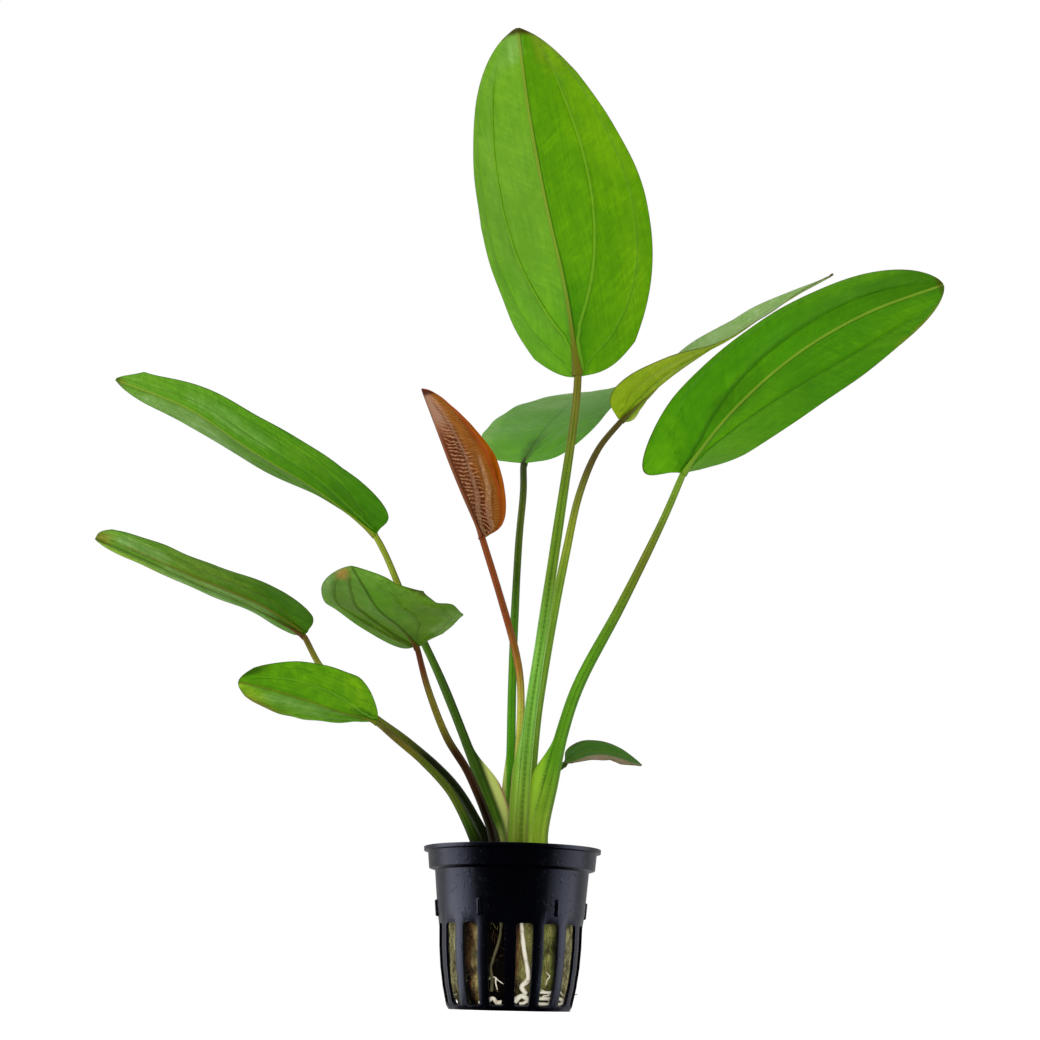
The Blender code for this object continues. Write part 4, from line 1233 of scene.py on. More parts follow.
def add_root(name, radii, places, rings):
    """One root behind the slots, knotted and closed at both ends."""
    points = []
    for angle, height, depth in places:
        turn = math.radians(angle)
        out = float(inner_radius(height)) - depth
        points.append((out * math.sin(turn), -out * math.cos(turn), height))
    shares = np.linspace(0.0, 1.0, rings)
    spine = smooth_curve(points, shares)
    run = np.linalg.norm(np.diff(spine, axis=0), axis=1).sum()
    angles = np.linspace(-math.pi, math.pi, ROOT_ANGLES)
    seed = name_seed(name, 0.71)
    rough = np.array([[noise.noise(Vector((share * run * 0.45, math.cos(angle), seed)))
                       for angle in angles[:-1]] for share in shares])
    rough = np.concatenate([rough, rough[:, :1]], axis=1)
    knots = np.array([noise.noise(Vector((share * run * 0.3, 0.0, seed + 9)))
                      for share in shares])
    thick = np.interp(shares, (0.0, 1.0), radii) * (1 + ROOT_KNOTS * knots)
    thick = thick[:, None] * (1 + ROOT_CREASES * rough)
    thick[0] *= 0.5
    thick[-1] *= 0.4
    piece = add_tube("strand_" + name, spine, thick, angles)
    close_seams(piece)
    shade(piece, 60)
    return piece


def add_fine_roots():
    """The fine roots between the large ones, as one piece."""
    radii = (FINE_ROOT_RADIUS, FINE_ROOT_RADIUS * 0.7)
    roots = [add_root("fine_%d" % order, radii, places, FINE_ROOT_RINGS)
             for order, places in enumerate(FINE_ROOTS)]
    return join_pieces(roots, "fine_roots")


def add_hairs(name, starts, ends, seed):
    """Many thin hairs as one piece, each a bent three-sided thread closed at both ends."""
    draw = np.random.default_rng(seed)
    count = len(starts)
    share = np.linspace(0.0, 1.0, FIBRE_RINGS)[None, :, None]
    bend = draw.normal(size=(count, 1, 3)) * FIBRE_BOW
    spine = starts[:, None] + (ends - starts)[:, None] * share + bend * np.sin(np.pi * share)
    along = unit(ends - starts)
    side = unit(np.cross(along, unit(draw.normal(size=(count, 3)))))
    other = np.cross(along, side)
    turn = np.radians([0.0, 120.0, 240.0, 360.0])[None, None, :, None]
    out = (side[:, None, None] * np.cos(turn) + other[:, None, None] * np.sin(turn))
    thick = FIBRE_RADIUS * np.array([0.0, 0.9, 1.0, 0.9, 0.7, 0.0])[None, :, None, None]
    points = spine[:, :, None] + out * thick
    piece = add_grid(name, 4, count * FIBRE_RINGS)
    move_vertices(piece, points)
    rows = np.array([min(polygon.vertices) // 4 for polygon in piece.data.polygons])
    delete_faces(piece, rows % FIBRE_RINGS == FIBRE_RINGS - 1)
    close_seams(piece, 0.0005 * MM)
    shade(piece, 80)
    return piece


def turned_points(radii, heights, angles):
    """Points of a turned form, one row for each radius and height."""
    radii = np.broadcast_to(radii, (len(heights), len(angles)))
    heights = np.broadcast_to(np.asarray(heights)[..., None] if np.ndim(heights) == 1
                              else heights, radii.shape)
    return np.stack([radii * np.sin(angles), -radii * np.cos(angles), heights], axis=2)


def pot_angles():
    """Angles of the pot's columns and how far across a slot each lies, or -1 on a rib."""
    pitch = 2 * math.pi / SLOTS
    rib = pitch * (1 - SLOT_SHARE)
    angles = []
    across = []
    for slot in range(SLOTS):
        start = slot * pitch + rib / 2
        for cut in SLOT_CUTS:
            angles.append(start + cut * pitch * SLOT_SHARE)
            across.append(cut)
        end = start + pitch * SLOT_SHARE
        angles += [end, end + rib / 2]
        across += [1.0, -1.0]
    return np.array(angles + [angles[0] + 2 * math.pi]), np.array(across + [across[0]])


def add_pot(sizes):
    """The net pot: a turned wall with rounded slots, a lip and six lugs."""
    angles, across = pot_angles()
    profile = [(0.0, 0.0), (3.5, 0.0), (FLOOR_SLOT[0], 0.0), (FLOOR_SLOT[1], 0.0)]
    profile += list(POT_OUTER[:-3]) + [(26.7, 48.0), (26.8, LIP_LOW), (26.9, LIP_HIGH)]
    radii = np.array([radius for radius, height in profile])[:, None]
    heights = np.array([height for radius, height in profile])
    levels = np.repeat(heights[:, None], len(angles), axis=1)
    corner = np.clip((np.abs(across - 0.5) * 2 - 0.6) / 0.4, 0.0, 1.0)
    dip = np.where(across < 0, 0.0, SLOT_ROUNDING * (1 - np.sqrt(1 - corner ** 2)))
    levels[heights == SLOT_HIGH] -= dip
    levels[heights == SLOT_LOW] += dip
    piece = add_grid("net_pot", len(angles), len(profile))
    move_vertices(piece, turned_points(radii, levels, angles))
    columns = len(SLOT_CUTS) + 2
    gone = []
    for polygon in piece.data.polygons:
        row, column = divmod(min(polygon.vertices), len(angles))
        in_slot = column % columns < len(SLOT_CUTS)
        low, high = heights[row], heights[row + 1]
        in_wall = low >= SLOT_LOW and high <= SLOT_HIGH
        in_floor = row == 2 and column // columns % 2 == 0
        gone.append(in_slot and (in_wall or in_floor))
    delete_faces(piece, gone)
    close_seams(piece)
    wall = piece.modifiers.new("wall", "SOLIDIFY")
    wall.thickness = POT_WALL * MM
    wall.offset = -1.0
    wall.use_even_offset = True
    apply_modifiers(piece)
    raise_lip(piece)
    edges = piece.modifiers.new("moulded edges", "BEVEL")
    edges.width = sizes.edge_rounding
    edges.segments = 2
    edges.limit_method = "ANGLE"
    edges.angle_limit = math.radians(38)
    apply_modifiers(piece)
    lugs = [add_lug(angle) for angle in LUG_ANGLES]
    join_pieces([piece, *lugs], "net_pot")
    shade(piece, 35)
    return piece


def raise_lip(piece):
    """Draw the top band of the wall out into the lip."""
    middle = (LIP_LOW + LIP_HIGH) / 2 * MM
    chosen = []
    for polygon in piece.data.polygons:
        centre = polygon.center
        flat = Vector((centre.x, centre.y))
        outward = flat.dot(Vector((polygon.normal.x, polygon.normal.y))) > 0.5 * flat.length
        chosen.append(outward and abs(centre.z - middle) < 0.4 * MM)
    select_faces(piece, chosen)
    bpy.ops.mesh.extrude_region_move()
    grow = LIP_RADIUS / LIP_FOOT_RADIUS
    bpy.ops.transform.resize(value=(grow, grow, 1.0), center_override=(0.0, 0.0, 0.0))
    bpy.ops.object.mode_set(mode="OBJECT")


def add_lug(angle):
    """A small upright lug on the pot's wall."""
    deselect()
    bpy.ops.mesh.primitive_cube_add(size=MM)
    lug = bpy.context.object
    shape = Matrix.Diagonal((*LUG_SIZE, 1.0))
    lean = Matrix.Rotation(math.radians(LUG_LEAN), 4, "X")
    out = float(inner_radius(LUG_LEVEL)) + POT_WALL
    place = Matrix.Translation((0.0, -out * MM, LUG_LEVEL * MM))
    lug.data.transform(Matrix.Rotation(math.radians(angle), 4, "Z") @ place @ lean @ shape)
    edges = lug.modifiers.new("edges", "BEVEL")
    edges.width = LUG_ROUNDING * MM
    edges.segments = 3
    apply_modifiers(lug)
    return lug


def wool_radius(heights):
    """Radius of the rock wool at some heights, drawn in at its foot."""
    drawn = WOOL_FOOT_EDGE * (1 - smooth_step(heights, WOOL_FOOT, WOOL_FOOT_END))
    return inner_radius(heights) - WOOL_CLEARANCE - drawn


def add_wool():
    """The rock wool plug, lumpy and torn where it shows."""
    angles = np.linspace(0.0, 2 * math.pi, WOOL_ANGLES)
    heights = np.linspace(WOOL_FOOT, WOOL_TOP, WOOL_RINGS)
    radii = wool_radius(heights)[:, None] * np.ones((1, len(angles)))
    for level, height in enumerate(heights):
        for step, angle in enumerate(angles[:-1]):
            x, y = 22 * math.sin(angle), 22 * math.cos(angle)
            spot = Vector((x, y, height))
            lump = noise.fractal(spot * 0.22, 1.0, 2.0, 4) * 0.9
            strands = noise.noise(Vector((x * 0.9, y * 0.9, height * 2.6))) * 0.35
            radii[level, step] += min(lump + strands, 0.9)
    radii[:, -1] = radii[:, 0]
    caps = np.linspace(0.0, 1.0, 9)[:-1]
    bottom = caps[:, None] * radii[:1]
    top = caps[::-1, None] * radii[-1:]
    top_levels = np.array([[WOOL_TOP + 0.5 * noise.noise(
        Vector((radius * math.sin(angle), radius * math.cos(angle), 3.0)) * 0.35)
        for angle, radius in zip(angles, row)] for row in top])
    top_levels[:, -1] = top_levels[:, 0]
    top_levels[-1] = WOOL_TOP
    levels = np.concatenate([
        np.full(bottom.shape, WOOL_FOOT),
        np.repeat(heights[:, None], len(angles), axis=1),
        top_levels])
    radii = np.concatenate([bottom, radii, top])
    piece = add_grid("wool_plug", len(angles), len(radii))
    move_vertices(piece, turned_points(radii, levels, angles))
    close_seams(piece)
    shade(piece, 70)
    return piece


def add_wool_fibres():
    """Loose fibres on the rock wool."""
    draw = np.random.default_rng(11)
    angle = draw.uniform(-math.pi, math.pi, FIBRES)
    height = draw.uniform(FIBRE_LOW, FIBRE_HIGH, FIBRES)
    radius = wool_radius(height) + draw.uniform(-0.1, 0.5, FIBRES)
    start = np.stack([radius * np.sin(angle), -radius * np.cos(angle), height], axis=1)
    turn = draw.normal(math.pi / 2, 0.7, FIBRES)
    length = draw.uniform(1.5, 5.0, FIBRES)
    around = angle + length * np.cos(turn) / radius
    rise = np.clip(height + 0.8 * length * np.sin(turn), 2.0, 39.5)
    far = wool_radius(rise) + draw.uniform(-0.2, 0.6, FIBRES)
    end = np.stack([far * np.sin(around), -far * np.cos(around), rise], axis=1)
    return add_hairs("wool_fibres", start, end, 12)


def add_crown():
    """The crown that the stems grow from, a low lumpy mound."""
    shares = np.linspace(0.0, 1.0, CROWN_RINGS)
    spine = smooth_curve([(radius, 0.0, height) for radius, height in CROWN_OUTLINE], shares)
    angles = np.linspace(0.0, 2 * math.pi, CROWN_ANGLES)
    radii = np.repeat(np.maximum(spine[:, :1], 0.0), len(angles), axis=1)
    levels = np.repeat(spine[:, 2:], len(angles), axis=1)
    for ring in range(1, len(shares) - 1):
        for step, angle in enumerate(angles[:-1]):
            x, y = radii[ring, step] * math.sin(angle), radii[ring, step] * math.cos(angle)
            lump = noise.fractal(Vector((x, y, levels[ring, step])) * 0.3, 1.0, 2.0, 4)
            radii[ring, step] *= 1 + CROWN_LUMPS * lump
            if levels[ring, step] > CROWN_SHOULDER:
                levels[ring, step] += CROWN_HILLS * lump
    radii[:, -1], levels[:, -1] = radii[:, 0], levels[:, 0]
    radii[0], radii[-1] = 0.0, 0.0
    piece = add_grid("crown_mound", len(angles), len(shares))
    move_vertices(piece, turned_points(radii, levels, angles))
    close_seams(piece)
    shade(piece, 60)
    return piece


def leaf_finish(name, which):
    """The finish of one face of a blade: which is under or upper."""
    looks = BLADE_LOOKS[name]
    finish = Finish("blade_" + name + "_" + which)
    on = SimpleNamespace(**{key: finish.stored(key) for key in (
        "along", "across", "along_mm", "across_mm", "vein", "ridge", "crease", "inset")})
    on.across_mm = finish.math("ABSOLUTE", on.across_mm)
    point = finish.place()
    on.ragged = finish.noise(point, 110, 4, 0.6)
    on.cloud = finish.noise(point, 75)
    on.mottle = finish.noise(point, 330, 3, 0.6)
    fine = finish.noise(point, 900, 4)
    wander = finish.noise(finish.spot(on.across_mm, on.along_mm, on.across), 0.35, 2)
    rise = on.along_mm - on.across_mm * 0.75 + wander * 2.6
    on.streaks = finish.noise(
        finish.spot(rise * 0.75, on.across_mm * 0.1, on.across), 1.0, 4, 0.65)
    on.lines = finish.noise(
        finish.spot(on.across_mm * 1.3, on.along_mm * 0.05, on.across), 1.0, 3, 0.6)
    if name == "young_red":
        body = red_body(finish, on)
        if which == "upper":
            body = finish.mix(0.85, body, "bright_orange")
    else:
        body = green_body(finish, on, looks, which)
    if which == "under":
        body = under_veins(finish, on, name, body)
    else:
        body = body.stained(on.vein.step(0.2, 0.9) * looks["upper_veined"], 0.6, 0.68, 0.6)
        body = body.under(on.ridge.step(0.2, 0.9) * 0.5, looks["vein"])
    tip = (on.along + (on.ragged - 0.5) * 0.02).step(0.976, 0.992) * looks["tip"]
    body = body.under(finish.most(tip, on.inset.step(0.36, 0.08) * 0.75), looks["margin"])
    normal = finish.bump(fine * 0.3 + on.streaks * 0.8 + on.mottle * 0.9, 0.00025, 0.6)
    rough = 0.34 + fine * 0.14 + on.cloud.step(0.3, 0.8) * 0.1
    surface = finish.surface(Base_Color=body, Roughness=rough, Normal=normal,
                             Specular_IOR_Level=looks["sheen"], Specular_Tint=LEAF_SHINE)
    return finish.done(finish.glow(surface, *looks["glow"]))


def green_body(finish, on, looks, which):
    """A green blade between its veins: patched, mottled, streaked and lined lengthwise, with pale
    mottles that paint a patchy sheen and some patches that paint shade or highlights.
    """
    if which == "under":
        plus, minus = (finish.ramp(on.along, tints) for tints in looks["under"])
        body = finish.mix(on.across.step(-0.04, 0.04), minus, plus)
    else:
        body = finish.ramp(on.along, looks["upper"])
    for there, out, reach, spread, tint, strength in looks["patches"]:
        away = finish.spot((on.along - there) / reach, (on.across - out) / spread)
        away = finish.node("ShaderNodeVectorMath", {"operation": "LENGTH"}, {0: away},
                           output="Value")
        share = (away + (on.ragged - 0.5) * 1.6).step(1.0, 0.25)
        body = body.under(share * strength, tint)
    fleck = finish.noise(finish.place(), 760, 3, 0.65)
    mottled = looks["mottled"]
    body = body.stained(on.cloud.step(0.42, 0.62) * 0.6 * mottled, 0.74, 0.84, 0.6)
    body = body.stained(on.mottle.step(0.45, 0.68) * 0.5 * mottled, 0.7, 0.8, 0.6)
    # Painted sheen: pale bluish mottles where the mottle is low
    body = body.stained(on.mottle.step(0.5, 0.33) * 0.6 * mottled, 1.36, 1.2, 1.6)
    body = body.stained(fleck.step(0.52, 0.7) * 0.35 * mottled, 0.66, 0.78, 0.55)
    between = on.across_mm.step(1.0, 2.5) * on.cloud.step(0.6, 0.4)
    body = body.stained(on.streaks.step(0.5, 0.66) * between * 0.6, 1.4, 1.24, 1.8)
    body = body.stained(on.streaks.step(0.48, 0.34) * 0.45, 0.68, 0.8, 0.6)
    body = body.stained(on.lines.step(0.5, 0.66) * looks["lined"], 1.4, 1.22, 2.0)
    return body.stained(on.lines.step(0.5, 0.34) * looks["lined"], 0.55, 0.68, 0.5)


def under_veins(finish, on, name, body):
    """A blade's underside: its body with painted shade along the midrib's lower part and in the
    crease next to each vein, then side veins and midrib.
    """
    looks = BLADE_LOOKS[name]
    stem_end = STEM_LOOKS[name]["colours"][-1]
    # Painted shade: a darker strip along the lower part of the midrib, on its shaded side
    midrib_shade = (on.across * LEAVES[name]["painted_shade_side"]).step(0.0, 0.01)
    midrib_shade = midrib_shade * on.across_mm.step(6.0, 0.5)
    body = body.stained(midrib_shade * on.along.step(0.7, 0.1) * 0.55, 0.62, 0.76, 0.6)
    # Painted shade in the crease next to the midrib and next to each side vein
    body = body.stained(on.crease.step(0.12, 0.75) * looks["creased"], 0.36, 0.46, 0.36)
    if looks["veined"]:
        body = body.under(on.vein.step(0.3, 0.95) * looks["veined"], looks["side_vein"])
    strength = (0.5 + on.along.step(0.3, 0.0) * 0.45) * looks["rib"]
    rib = finish.mix(on.along.step(0.02, 0.3), stem_end, looks["vein"])
    rib = rib.stained(on.lines.step(0.4, 0.6) * 0.4, 0.6, 0.6, 0.6)
    return body.under(on.ridge.step(0.3, 0.8) * strength, rib)


def red_body(finish, on):
    """The young red blade: dark between pale ridges, golden by its edge, streaked across, with a
    painted greyish pink sheen on its upper part.
    """
    out = finish.math("ABSOLUTE", on.across)
    body = finish.ramp(out, (
        (0.0, "rust"), (0.06, "red_brown"), (0.5, "red_brown"), (0.68, "orange_brown"),
        (0.9, "orange_brown"), (0.97, "rust")))
    patch = finish.noise(finish.spot(on.along_mm * 0.12, out * 5, 4.0))
    body = body.stained(patch.step(0.4, 0.62) * 0.6, 0.62, 0.56, 0.5)
    outer = out.step(0.55, 0.72)
    # Painted sheen: pinkish grey over the inner bands of the blade's upper part
    body = body.under(on.along.step(0.6, 0.85) * (1 - outer) * 0.5, "streak_pink")
    waver = finish.noise(finish.spot(on.along_mm * 0.35, out * 5, 1.0)) * 12
    wide = (on.along_mm * 4.4 + out * 34 + waver).sine()
    narrow = (on.along_mm * 8.0 + out * 30 + waver).sine()
    faded = finish.noise(finish.spot(on.along_mm * 0.5, out * 9, 7.0), 1.0, 3, 0.6)
    share = wide.step(0.0, 0.8) * (1 - outer) + narrow.step(0.3, 0.95) * outer * 0.4
    share = share * (0.25 + faded.step(0.38, 0.58) * 0.6)
    share = share * out.step(0.95, 0.84) * out.step(0.08, 0.16) * out.step(0.05, 0.15)
    body = body.under(share, "streak_pink")
    body = body.under(out.step(0.09, 0.0) * 0.5, "ridge_brown")
    # Painted sheen: greyish pink near the upper end, towards the keel
    crown = (on.along + patch * 0.1).step(0.74, 0.86) * out.step(0.5, 0.35)
    body = body.under(crown * 0.7, "ridge_grey")
    dots = finish.noise(finish.spot(on.along_mm * 1.1, out * 30, 2.0), 1.0, 3, 0.7)
    rib = finish.mix(outer, "ridge_brown", "ridge_pink")
    rib = rib.stained(dots.step(0.42, 0.54) * 0.9, 0.6, 0.48, 0.38)
    body = body.under(on.vein.step(0.08, 0.6) * 0.8, rib)
    hook = (on.along + patch * 0.03 + out * 0.02).step(0.955, 0.985)
    return body.under(hook * 0.92, "deep_red")


def stem_finish(name):
    """A stem's finish: its colours from crown to blade, dotted lines along its grooves, a painted
    sheen on its left side and painted shade on its right, and where banded a painted highlight
    down its right edge.
    """
    looks = STEM_LOOKS[name]
    finish = Finish("petiole_" + name)
    along, along_mm, sheath, right, front = (finish.stored(key) for key in (
        "along", "along_mm", "sheath", "right", "front"))
    point = finish.place()
    body = finish.ramp(along, looks["colours"])
    body = body.stained(finish.noise(point, 160).step(0.42, 0.66) * 0.4, 0.66, 0.76, 0.6)
    ribs = finish.noise(finish.spot(right * 3.4, front * 3.4, along_mm * 0.035), 1.0, 3, 0.6)
    body = body.stained(ribs.step(0.5, 0.66) * 0.6, 1.5, 1.35, 1.7)
    body = body.stained(ribs.step(0.48, 0.34) * 0.6, 0.5, 0.6, 0.4)
    # Painted sheen on the left side, lighter and bluer, and painted shade on the right side,
    # darker
    body = body.stained((0 - right).step(0.3, 0.9) * looks["pale"], 1.5, 1.4, 2.4)
    body = body.stained(right.step(0.1, 0.9) * looks["dark"], 0.45, 0.5, 0.4)
    if looks["banded"]:
        # Painted highlight: a pale bluish strip down the right edge of the lower stem
        right_highlight = right.step(0.5, 0.95) * along.step(0.7, 0.5) * 0.8
        body = body.stained(right_highlight, 1.6, 1.35, 2.6)
        band = right.step(-0.5, -0.15) * right.step(0.4, 0.05)
        band = band * front.step(0.0, 0.5) * along.step(0.75, 0.55)
        dotted = (along_mm * 3.6).sine().step(-0.4, 0.5)
        body = body.stained(band * (0.4 + dotted * 0.4), 0.5, 0.6, 0.34)
    ridged = finish.math("ARCTAN2", right, front) * rib_count(LEAVES[name])
    ridged = finish.math("COSINE", ridged)
    dots = finish.noise(finish.spot(along_mm, right), 1.1, 3, 0.7)
    rungs = (along_mm * 5.2 + dots * 5).sine().step(0.1, 0.7)
    dark = finish.most(ridged.step(0.86, 0.98) * 0.75, ridged.step(0.45, 0.85) * rungs * 0.8)
    broken = 0.35 + 0.65 * dots.step(0.4, 0.54)
    body = body.stained(dark * broken * along.step(0.05, 0.2), 0.3, 0.38, 0.26)
    light = ridged.step(-0.55, -0.95) * (0.3 + 0.7 * dots.step(0.5, 0.4))
    body = body.stained(light * 0.5, 1.35, 1.3, 1.8)
    wing = looks["sheath"][-1]
    wing = finish.mix(ribs.step(0.4, 0.6) * 0.4, wing, finish.tint(wing, (0.7, 0.76, 0.6)))
    body = body.under(sheath.step(0.1, 0.5) * 0.85, wing)
    body = body.under(sheath.step(0.82, 0.97) * 0.8, "sheath_edge")
    grain = finish.noise(point, 1400)
    surface = finish.surface(
        Base_Color=body, Roughness=0.36 + grain * 0.16, Specular_IOR_Level=0.3,
        Specular_Tint=LEAF_SHINE, Normal=finish.bump(grain * 0.3 + ribs * 1.4, 0.0002, 0.8))
    return finish.done(finish.glow(surface, STEM_GLOW, looks["glow"]))


def pot_finish():
    """Black moulded plastic, a little damp and worn."""
    finish = Finish("pot_plastic")
    point = finish.place()
    wide = finish.noise(point, 70)
    grain = finish.noise(point, 1500, 4, 0.7)
    beads = finish.noise(point, 420, 4, 0.65).step(0.56, 0.66)
    scuffs = finish.noise(finish.place(500.0, 500.0, 2600.0), 1.0, 2)
    body = finish.mix(wide.step(0.35, 0.8) * 0.5, "pot_black", finish.tint("pot_black", 1.9))
    body = body.under(scuffs.step(0.66, 0.8) * 0.35, finish.tint("pot_black", 4.0))
    rough = 0.24 + grain * 0.1 - beads * 0.08 + wide.step(0.4, 0.7) * 0.05
    normal = finish.bump(grain * 0.3 + beads * 0.8, 0.00007, 0.7)
    return finish.done(finish.surface(
        Base_Color=body, Roughness=rough, Normal=normal, Specular_IOR_Level=0.64,
        Specular_Tint=POT_SHINE))


def wool_finish():
    """Rock wool: matted fibres, khaki with brown and olive stains, painted light on its sides, and
    painted shade in its hollows and towards its foot.
    """
    finish = Finish("rock_wool")
    point = finish.place()
    x, y, height = finish.parts(point)
    turn = finish.math("ARCTAN2", x, 0 - y) * (0.5 / math.pi) + 0.5
    warp = finish.noise(finish.place(z=0.6), 150, 3, 0.6)
    body = finish.ramp(turn + (warp - 0.5) * 0.035, WOOL_STAINS)
    stain = finish.noise(finish.place(z=0.45), 120, 3, 0.6)
    body = body.under(stain.step(0.54, 0.7) * 0.4, "wool_stain")
    # Painted shade: near black in the rock wool's hollows
    hollow = finish.noise(finish.place(z=0.6), 210, 2)
    body = body.under(hollow.step(0.54, 0.68) * 0.7, "wool_hollow")
    matted = finish.noise(finish.place(2100.0, 2100.0, 420.0), 1.0, 5, 0.65)
    crossed = finish.noise(finish.place(600.0, 600.0, 2300.0), 1.0, 4, 0.65)
    body = body.stained(matted.step(0.5, 0.66) * 0.75, 1.8, 1.75, 1.7)
    body = body.stained(matted.step(0.48, 0.36) * 0.8, 0.4, 0.4, 0.4)
    body = body.stained(crossed.step(0.54, 0.7) * 0.45, 1.5, 1.5, 1.4)
    # Painted shade: darker towards the foot, in the hollows near the pot's floor
    body = body.stained(height.step(0.009, 0.003) * 0.7, 0.4, 0.36, 0.34)
    body = body.stained(finish.noise(point, 2300).step(0.55, 0.8) * 0.4, 0.4, 0.4, 0.4)
    normal = finish.bump(matted + crossed * 0.6, 0.0006, 0.9)
    return finish.done(finish.surface(Base_Color=body, Roughness=0.92, Normal=normal,
                                      Specular_IOR_Level=0.2))


def fibre_finish():
    """Single rock wool fibres."""
    finish = Finish("wool_fibre")
    body = finish.ramp(finish.noise(finish.place(), 160, 2), (
        (0.34, "wool_hollow"), (0.5, "wool_stain"), (0.58, "wool_khaki"),
        (0.7, finish.tint("wool_khaki", 1.5))))
    return finish.done(finish.surface(Base_Color=body, Roughness=0.7))


def root_finish(name, clean, worn, glow):
    """Roots: cream where fresh, brown in patches, finely creased."""
    finish = Finish(name)
    point = finish.place()
    crease = finish.noise(point, 1600, 4, 0.7)
    body = finish.mix(finish.noise(point, 240, 3, 0.6).step(0.52, 0.72) * 0.7, clean, worn)
    body = body.stained(crease.step(0.55, 0.8) * 0.35, 0.6, 0.5, 0.4)
    surface = finish.surface(Base_Color=body, Roughness=0.45,
                             Normal=finish.bump(crease, 0.00012, 0.8))
    return finish.done(finish.glow(surface, glow, "root_cream"))


def crown_finish():
    """The crown: fibrous, brown and olive."""
    finish = Finish("crown_tissue")
    patch = finish.noise(finish.place(), 150, 4, 0.6)
    thread = finish.noise(finish.place(1500.0, 1500.0, 300.0), 1.0, 4)
    body = finish.mix(patch.step(0.4, 0.65), "brown_olive", "root_brown")
    body = body.stained(thread.step(0.5, 0.8) * 0.5, 0.35, 0.32, 0.3)
    return finish.done(finish.surface(
        Base_Color=body, Roughness=0.62,
        Normal=finish.bump(thread + patch * 0.5, 0.0004, 0.8)))


def floor_finish():
    """The pale studio floor."""
    finish = Finish("studio_floor")
    body = finish.ramp(finish.noise(finish.place(), 40, 2),
                       ((0.0, (0.93, 0.93, 0.93)), (1.0, (0.97, 0.97, 0.97))))
    return finish.done(finish.surface(
        Base_Color=body, Roughness=0.9, Specular_IOR_Level=0.1, Emission_Color=WHITE,
        Emission_Strength=0.55))


class BuildPot(Operator):
    """Model the net pot: slots, lip, lugs and moulded edges"""

    bl_idname = "plant.build_pot"
    bl_label = "Net pot"

    def execute(self, context):
        piece = add_pot(context.scene.plant_sizes)
        piece.data.materials.append(pot_finish())
        install(piece, "net_pot", "pot")
        return {"FINISHED"}


class BuildWool(Operator):
    """Model the rock wool plug and its loose fibres"""

    bl_idname = "plant.build_wool"
    bl_label = "Rock wool"

    def execute(self, context):
        plug = add_wool()
        plug.data.materials.append(wool_finish())
        install(plug, "rock_wool", "rock_wool")
        fibres = add_wool_fibres()
        fibres.data.materials.append(fibre_finish())
        install(fibres, "rock_wool")
        return {"FINISHED"}


class BuildCrown(Operator):
    """Model the crown under the stems"""

    bl_idname = "plant.build_crown"
    bl_label = "Crown"

    def execute(self, context):
        piece = add_crown()
        piece.data.materials.append(crown_finish())
        install(piece, "crown", "crown")
        return {"FINISHED"}


class BuildRoots(Operator):
    """Model the roots that show through the slots"""

    bl_idname = "plant.build_roots"
    bl_label = "Roots"

    def execute(self, context):
        fresh = root_finish("root_skin", "root_cream", "root_brown", 0.15)
        old = root_finish("root_skin_old", "root_old", "wool_hollow", 0.03)
        for name, (radii, places) in ROOTS.items():
            piece = add_root(name, radii, places, ROOT_RINGS)
            piece.data.materials.append(old if name in OLD_ROOTS else fresh)
            install(piece, "root", name)
        fine = add_fine_roots()
        fine.data.materials.append(fresh)
        install(fine, "root")
        return {"FINISHED"}


class BuildStems(Operator):
    """Model the leaf stems with their ribs and sheaths"""

    bl_idname = "plant.build_stems"
    bl_label = "Leaf stems"

    def execute(self, context):
        for name, leaf in LEAVES.items():
            piece = add_petiole(name, leaf, context.scene.plant_sizes)
            piece.data.materials.append(stem_finish(name))
            slot = "stem_red" if name == "young_red" else "stem"
            install(piece, slot, "stem_" + name)
        return {"FINISHED"}


class BuildLeaves(Operator):
    """Model the leaf blades with their midribs, side veins and margins"""

    bl_idname = "plant.build_leaves"
    bl_label = "Leaf blades"

    def execute(self, context):
        sizes = context.scene.plant_sizes
        for name, leaf in LEAVES.items():
            piece = add_grid("blade_" + name, column_count(leaf), sizes.blade_rows)
            thick = lay_blade(piece, leaf, name, sizes)
            for which in ("upper", "under"):
                piece.data.materials.append(leaf_finish(name, which))
            thicken(piece, thick)
            shade(piece, 75)
            slot = "leaf_red" if name == "young_red" else "leaf"
            install(piece, slot, "leaf_" + name)
        return {"FINISHED"}


def studio_world(brightness):
    """A white studio, darker towards its front where only the black pot mirrors it."""
    world = bpy.data.worlds.new("studio")
    world.use_nodes = True
    bpy.context.scene.world = world
    nodes = Nodes(world.node_tree)
    across, depth, height = nodes.parts(nodes.node("ShaderNodeTexCoord", output="Generated"))
    sides = depth.step(-0.52, -0.22) * depth.step(0.6, 0.25)
    sides = sides * (0.65 + 0.35 * across.step(0.2, -0.2))
    sides = sides * height.step(0.8, 0.5) * height.step(-0.5, -0.2)
    behind = depth.step(0.3, 0.7) * 0.4
    mirrored = nodes.most(sides * 2.4, nodes.most(height.step(0.45, 0.85), behind)) + 0.01
    even = 0.8 + height * 0.15
    camera_ray = nodes.node("ShaderNodeLightPath", output="Is Camera Ray")
    glossy_ray = nodes.node("ShaderNodeLightPath", output="Is Glossy Ray")
    light = glossy_ray * mirrored + (1 - glossy_ray) * even * brightness
    light = light * (1 - camera_ray) + camera_ray
    shader = nodes.node("ShaderNodeBackground", None, {"Color": WHITE, "Strength": light})
    nodes.add("ShaderNodeOutputWorld", None, {"Surface": shader})


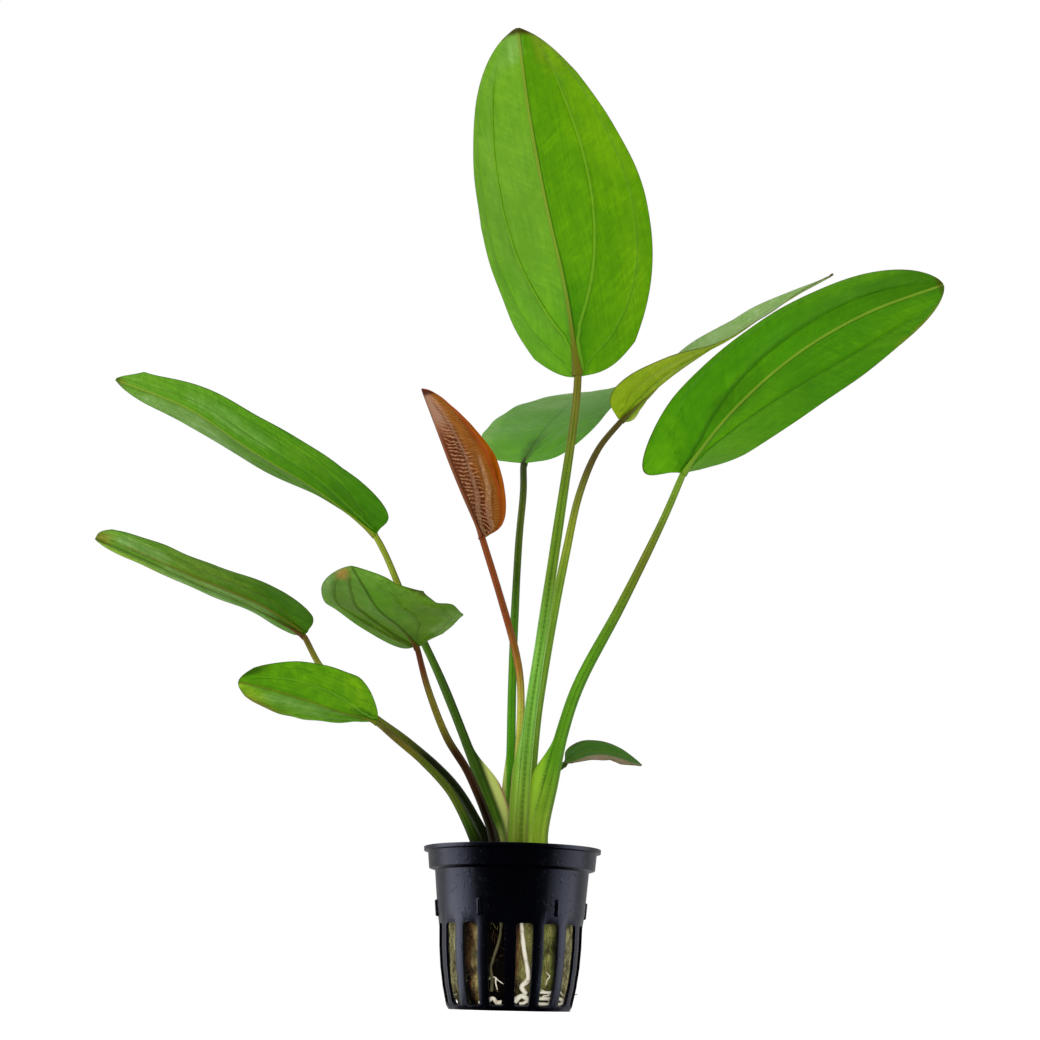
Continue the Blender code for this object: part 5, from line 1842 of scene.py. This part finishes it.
def add_light(name, place, size, power, glossy):
    """A large soft light that points at the plant."""
    data = bpy.data.lights.new(name, "AREA")
    data.shape = "DISK"
    data.size = size
    data.energy = power
    light = bpy.data.objects.new(name, data)
    bpy.context.scene.collection.objects.link(light)
    turn = (Vector(place) - Vector(LIT_PLACE)).to_track_quat("Z", "Y")
    light.matrix_world = Matrix.Translation(place) @ turn.to_matrix().to_4x4()
    light.visible_glossy = glossy
    light.visible_camera = False


def add_camera():
    """The camera that took the photograph."""
    data = bpy.data.cameras.new("photo_camera")
    data.sensor_width = 36.0
    data.lens = CAMERA_LENS
    data.clip_start = 0.01
    camera = bpy.data.objects.new("photo_camera", data)
    bpy.context.scene.collection.objects.link(camera)
    camera.matrix_world = (
        Matrix.Translation((0.0, -CAMERA_DISTANCE, CAMERA_HEIGHT))
        @ Matrix.Rotation(math.radians(90 + CAMERA_PITCH), 4, "X")
        @ Matrix.Rotation(math.radians(CAMERA_ROLL), 4, "Z"))
    bpy.context.scene.camera = camera


class BuildStage(Operator):
    """Set up the pale floor, the soft studio light and the photograph's camera"""

    bl_idname = "plant.build_stage"
    bl_label = "Stage"

    def execute(self, context):
        lights = context.scene.plant_light
        deselect()
        bpy.ops.mesh.primitive_plane_add(size=FLOOR_SIZE)
        floor = context.object
        floor.name = "floor"
        floor.data.materials.append(floor_finish())
        floor.visible_glossy = False
        studio_world(lights.surround)
        add_light("front_light", (0.0, -1.5, 0.5), 1.6, lights.front, False)
        add_light("key_light", (-0.7, -0.6, 1.1), 0.5, lights.key, True)
        add_camera()
        context.scene.view_settings.view_transform = "Standard"
        return {"FINISHED"}


class PlantPanel(Panel):
    """Lists the steps that dress the plant"""

    bl_idname = "VIEW3D_PT_plant"
    bl_label = "Potted echinodorus"
    bl_space_type = "VIEW_3D"
    bl_region_type = "UI"
    bl_category = "Plant"

    def draw(self, context):
        for step in STEPS:
            self.layout.operator(step.bl_idname)
        for group in (context.scene.plant_sizes, context.scene.plant_light,
                      context.scene.plant_colours):
            column = self.layout.column()
            for key in group.__annotations__:
                column.prop(group, key)


STEPS = (BuildPot, BuildWool, BuildCrown, BuildRoots, BuildStems, BuildLeaves, BuildStage)
GROUPS = {"plant_sizes": PlantSizes, "plant_colours": PlantColours, "plant_light": StageLight}


def register():
    """Register the settings, the steps and the panel."""
    for name, group in GROUPS.items():
        bpy.utils.register_class(group)
        setattr(bpy.types.Scene, name, PointerProperty(type=group))
    for step in (*STEPS, PlantPanel):
        bpy.utils.register_class(step)


def unregister():
    """Take the panel, the steps and the settings away again."""
    for step in (PlantPanel, *reversed(STEPS)):
        bpy.utils.unregister_class(step)
    for name, group in GROUPS.items():
        delattr(bpy.types.Scene, name)
        bpy.utils.unregister_class(group)


def main():
    """Dress the plant and set the stage."""
    register()
    bpy.ops.plant.build_pot()
    bpy.ops.plant.build_wool()
    bpy.ops.plant.build_crown()
    bpy.ops.plant.build_roots()
    bpy.ops.plant.build_stems()
    bpy.ops.plant.build_leaves()
    bpy.ops.plant.build_stage()


if __name__ == "__main__":
    main()
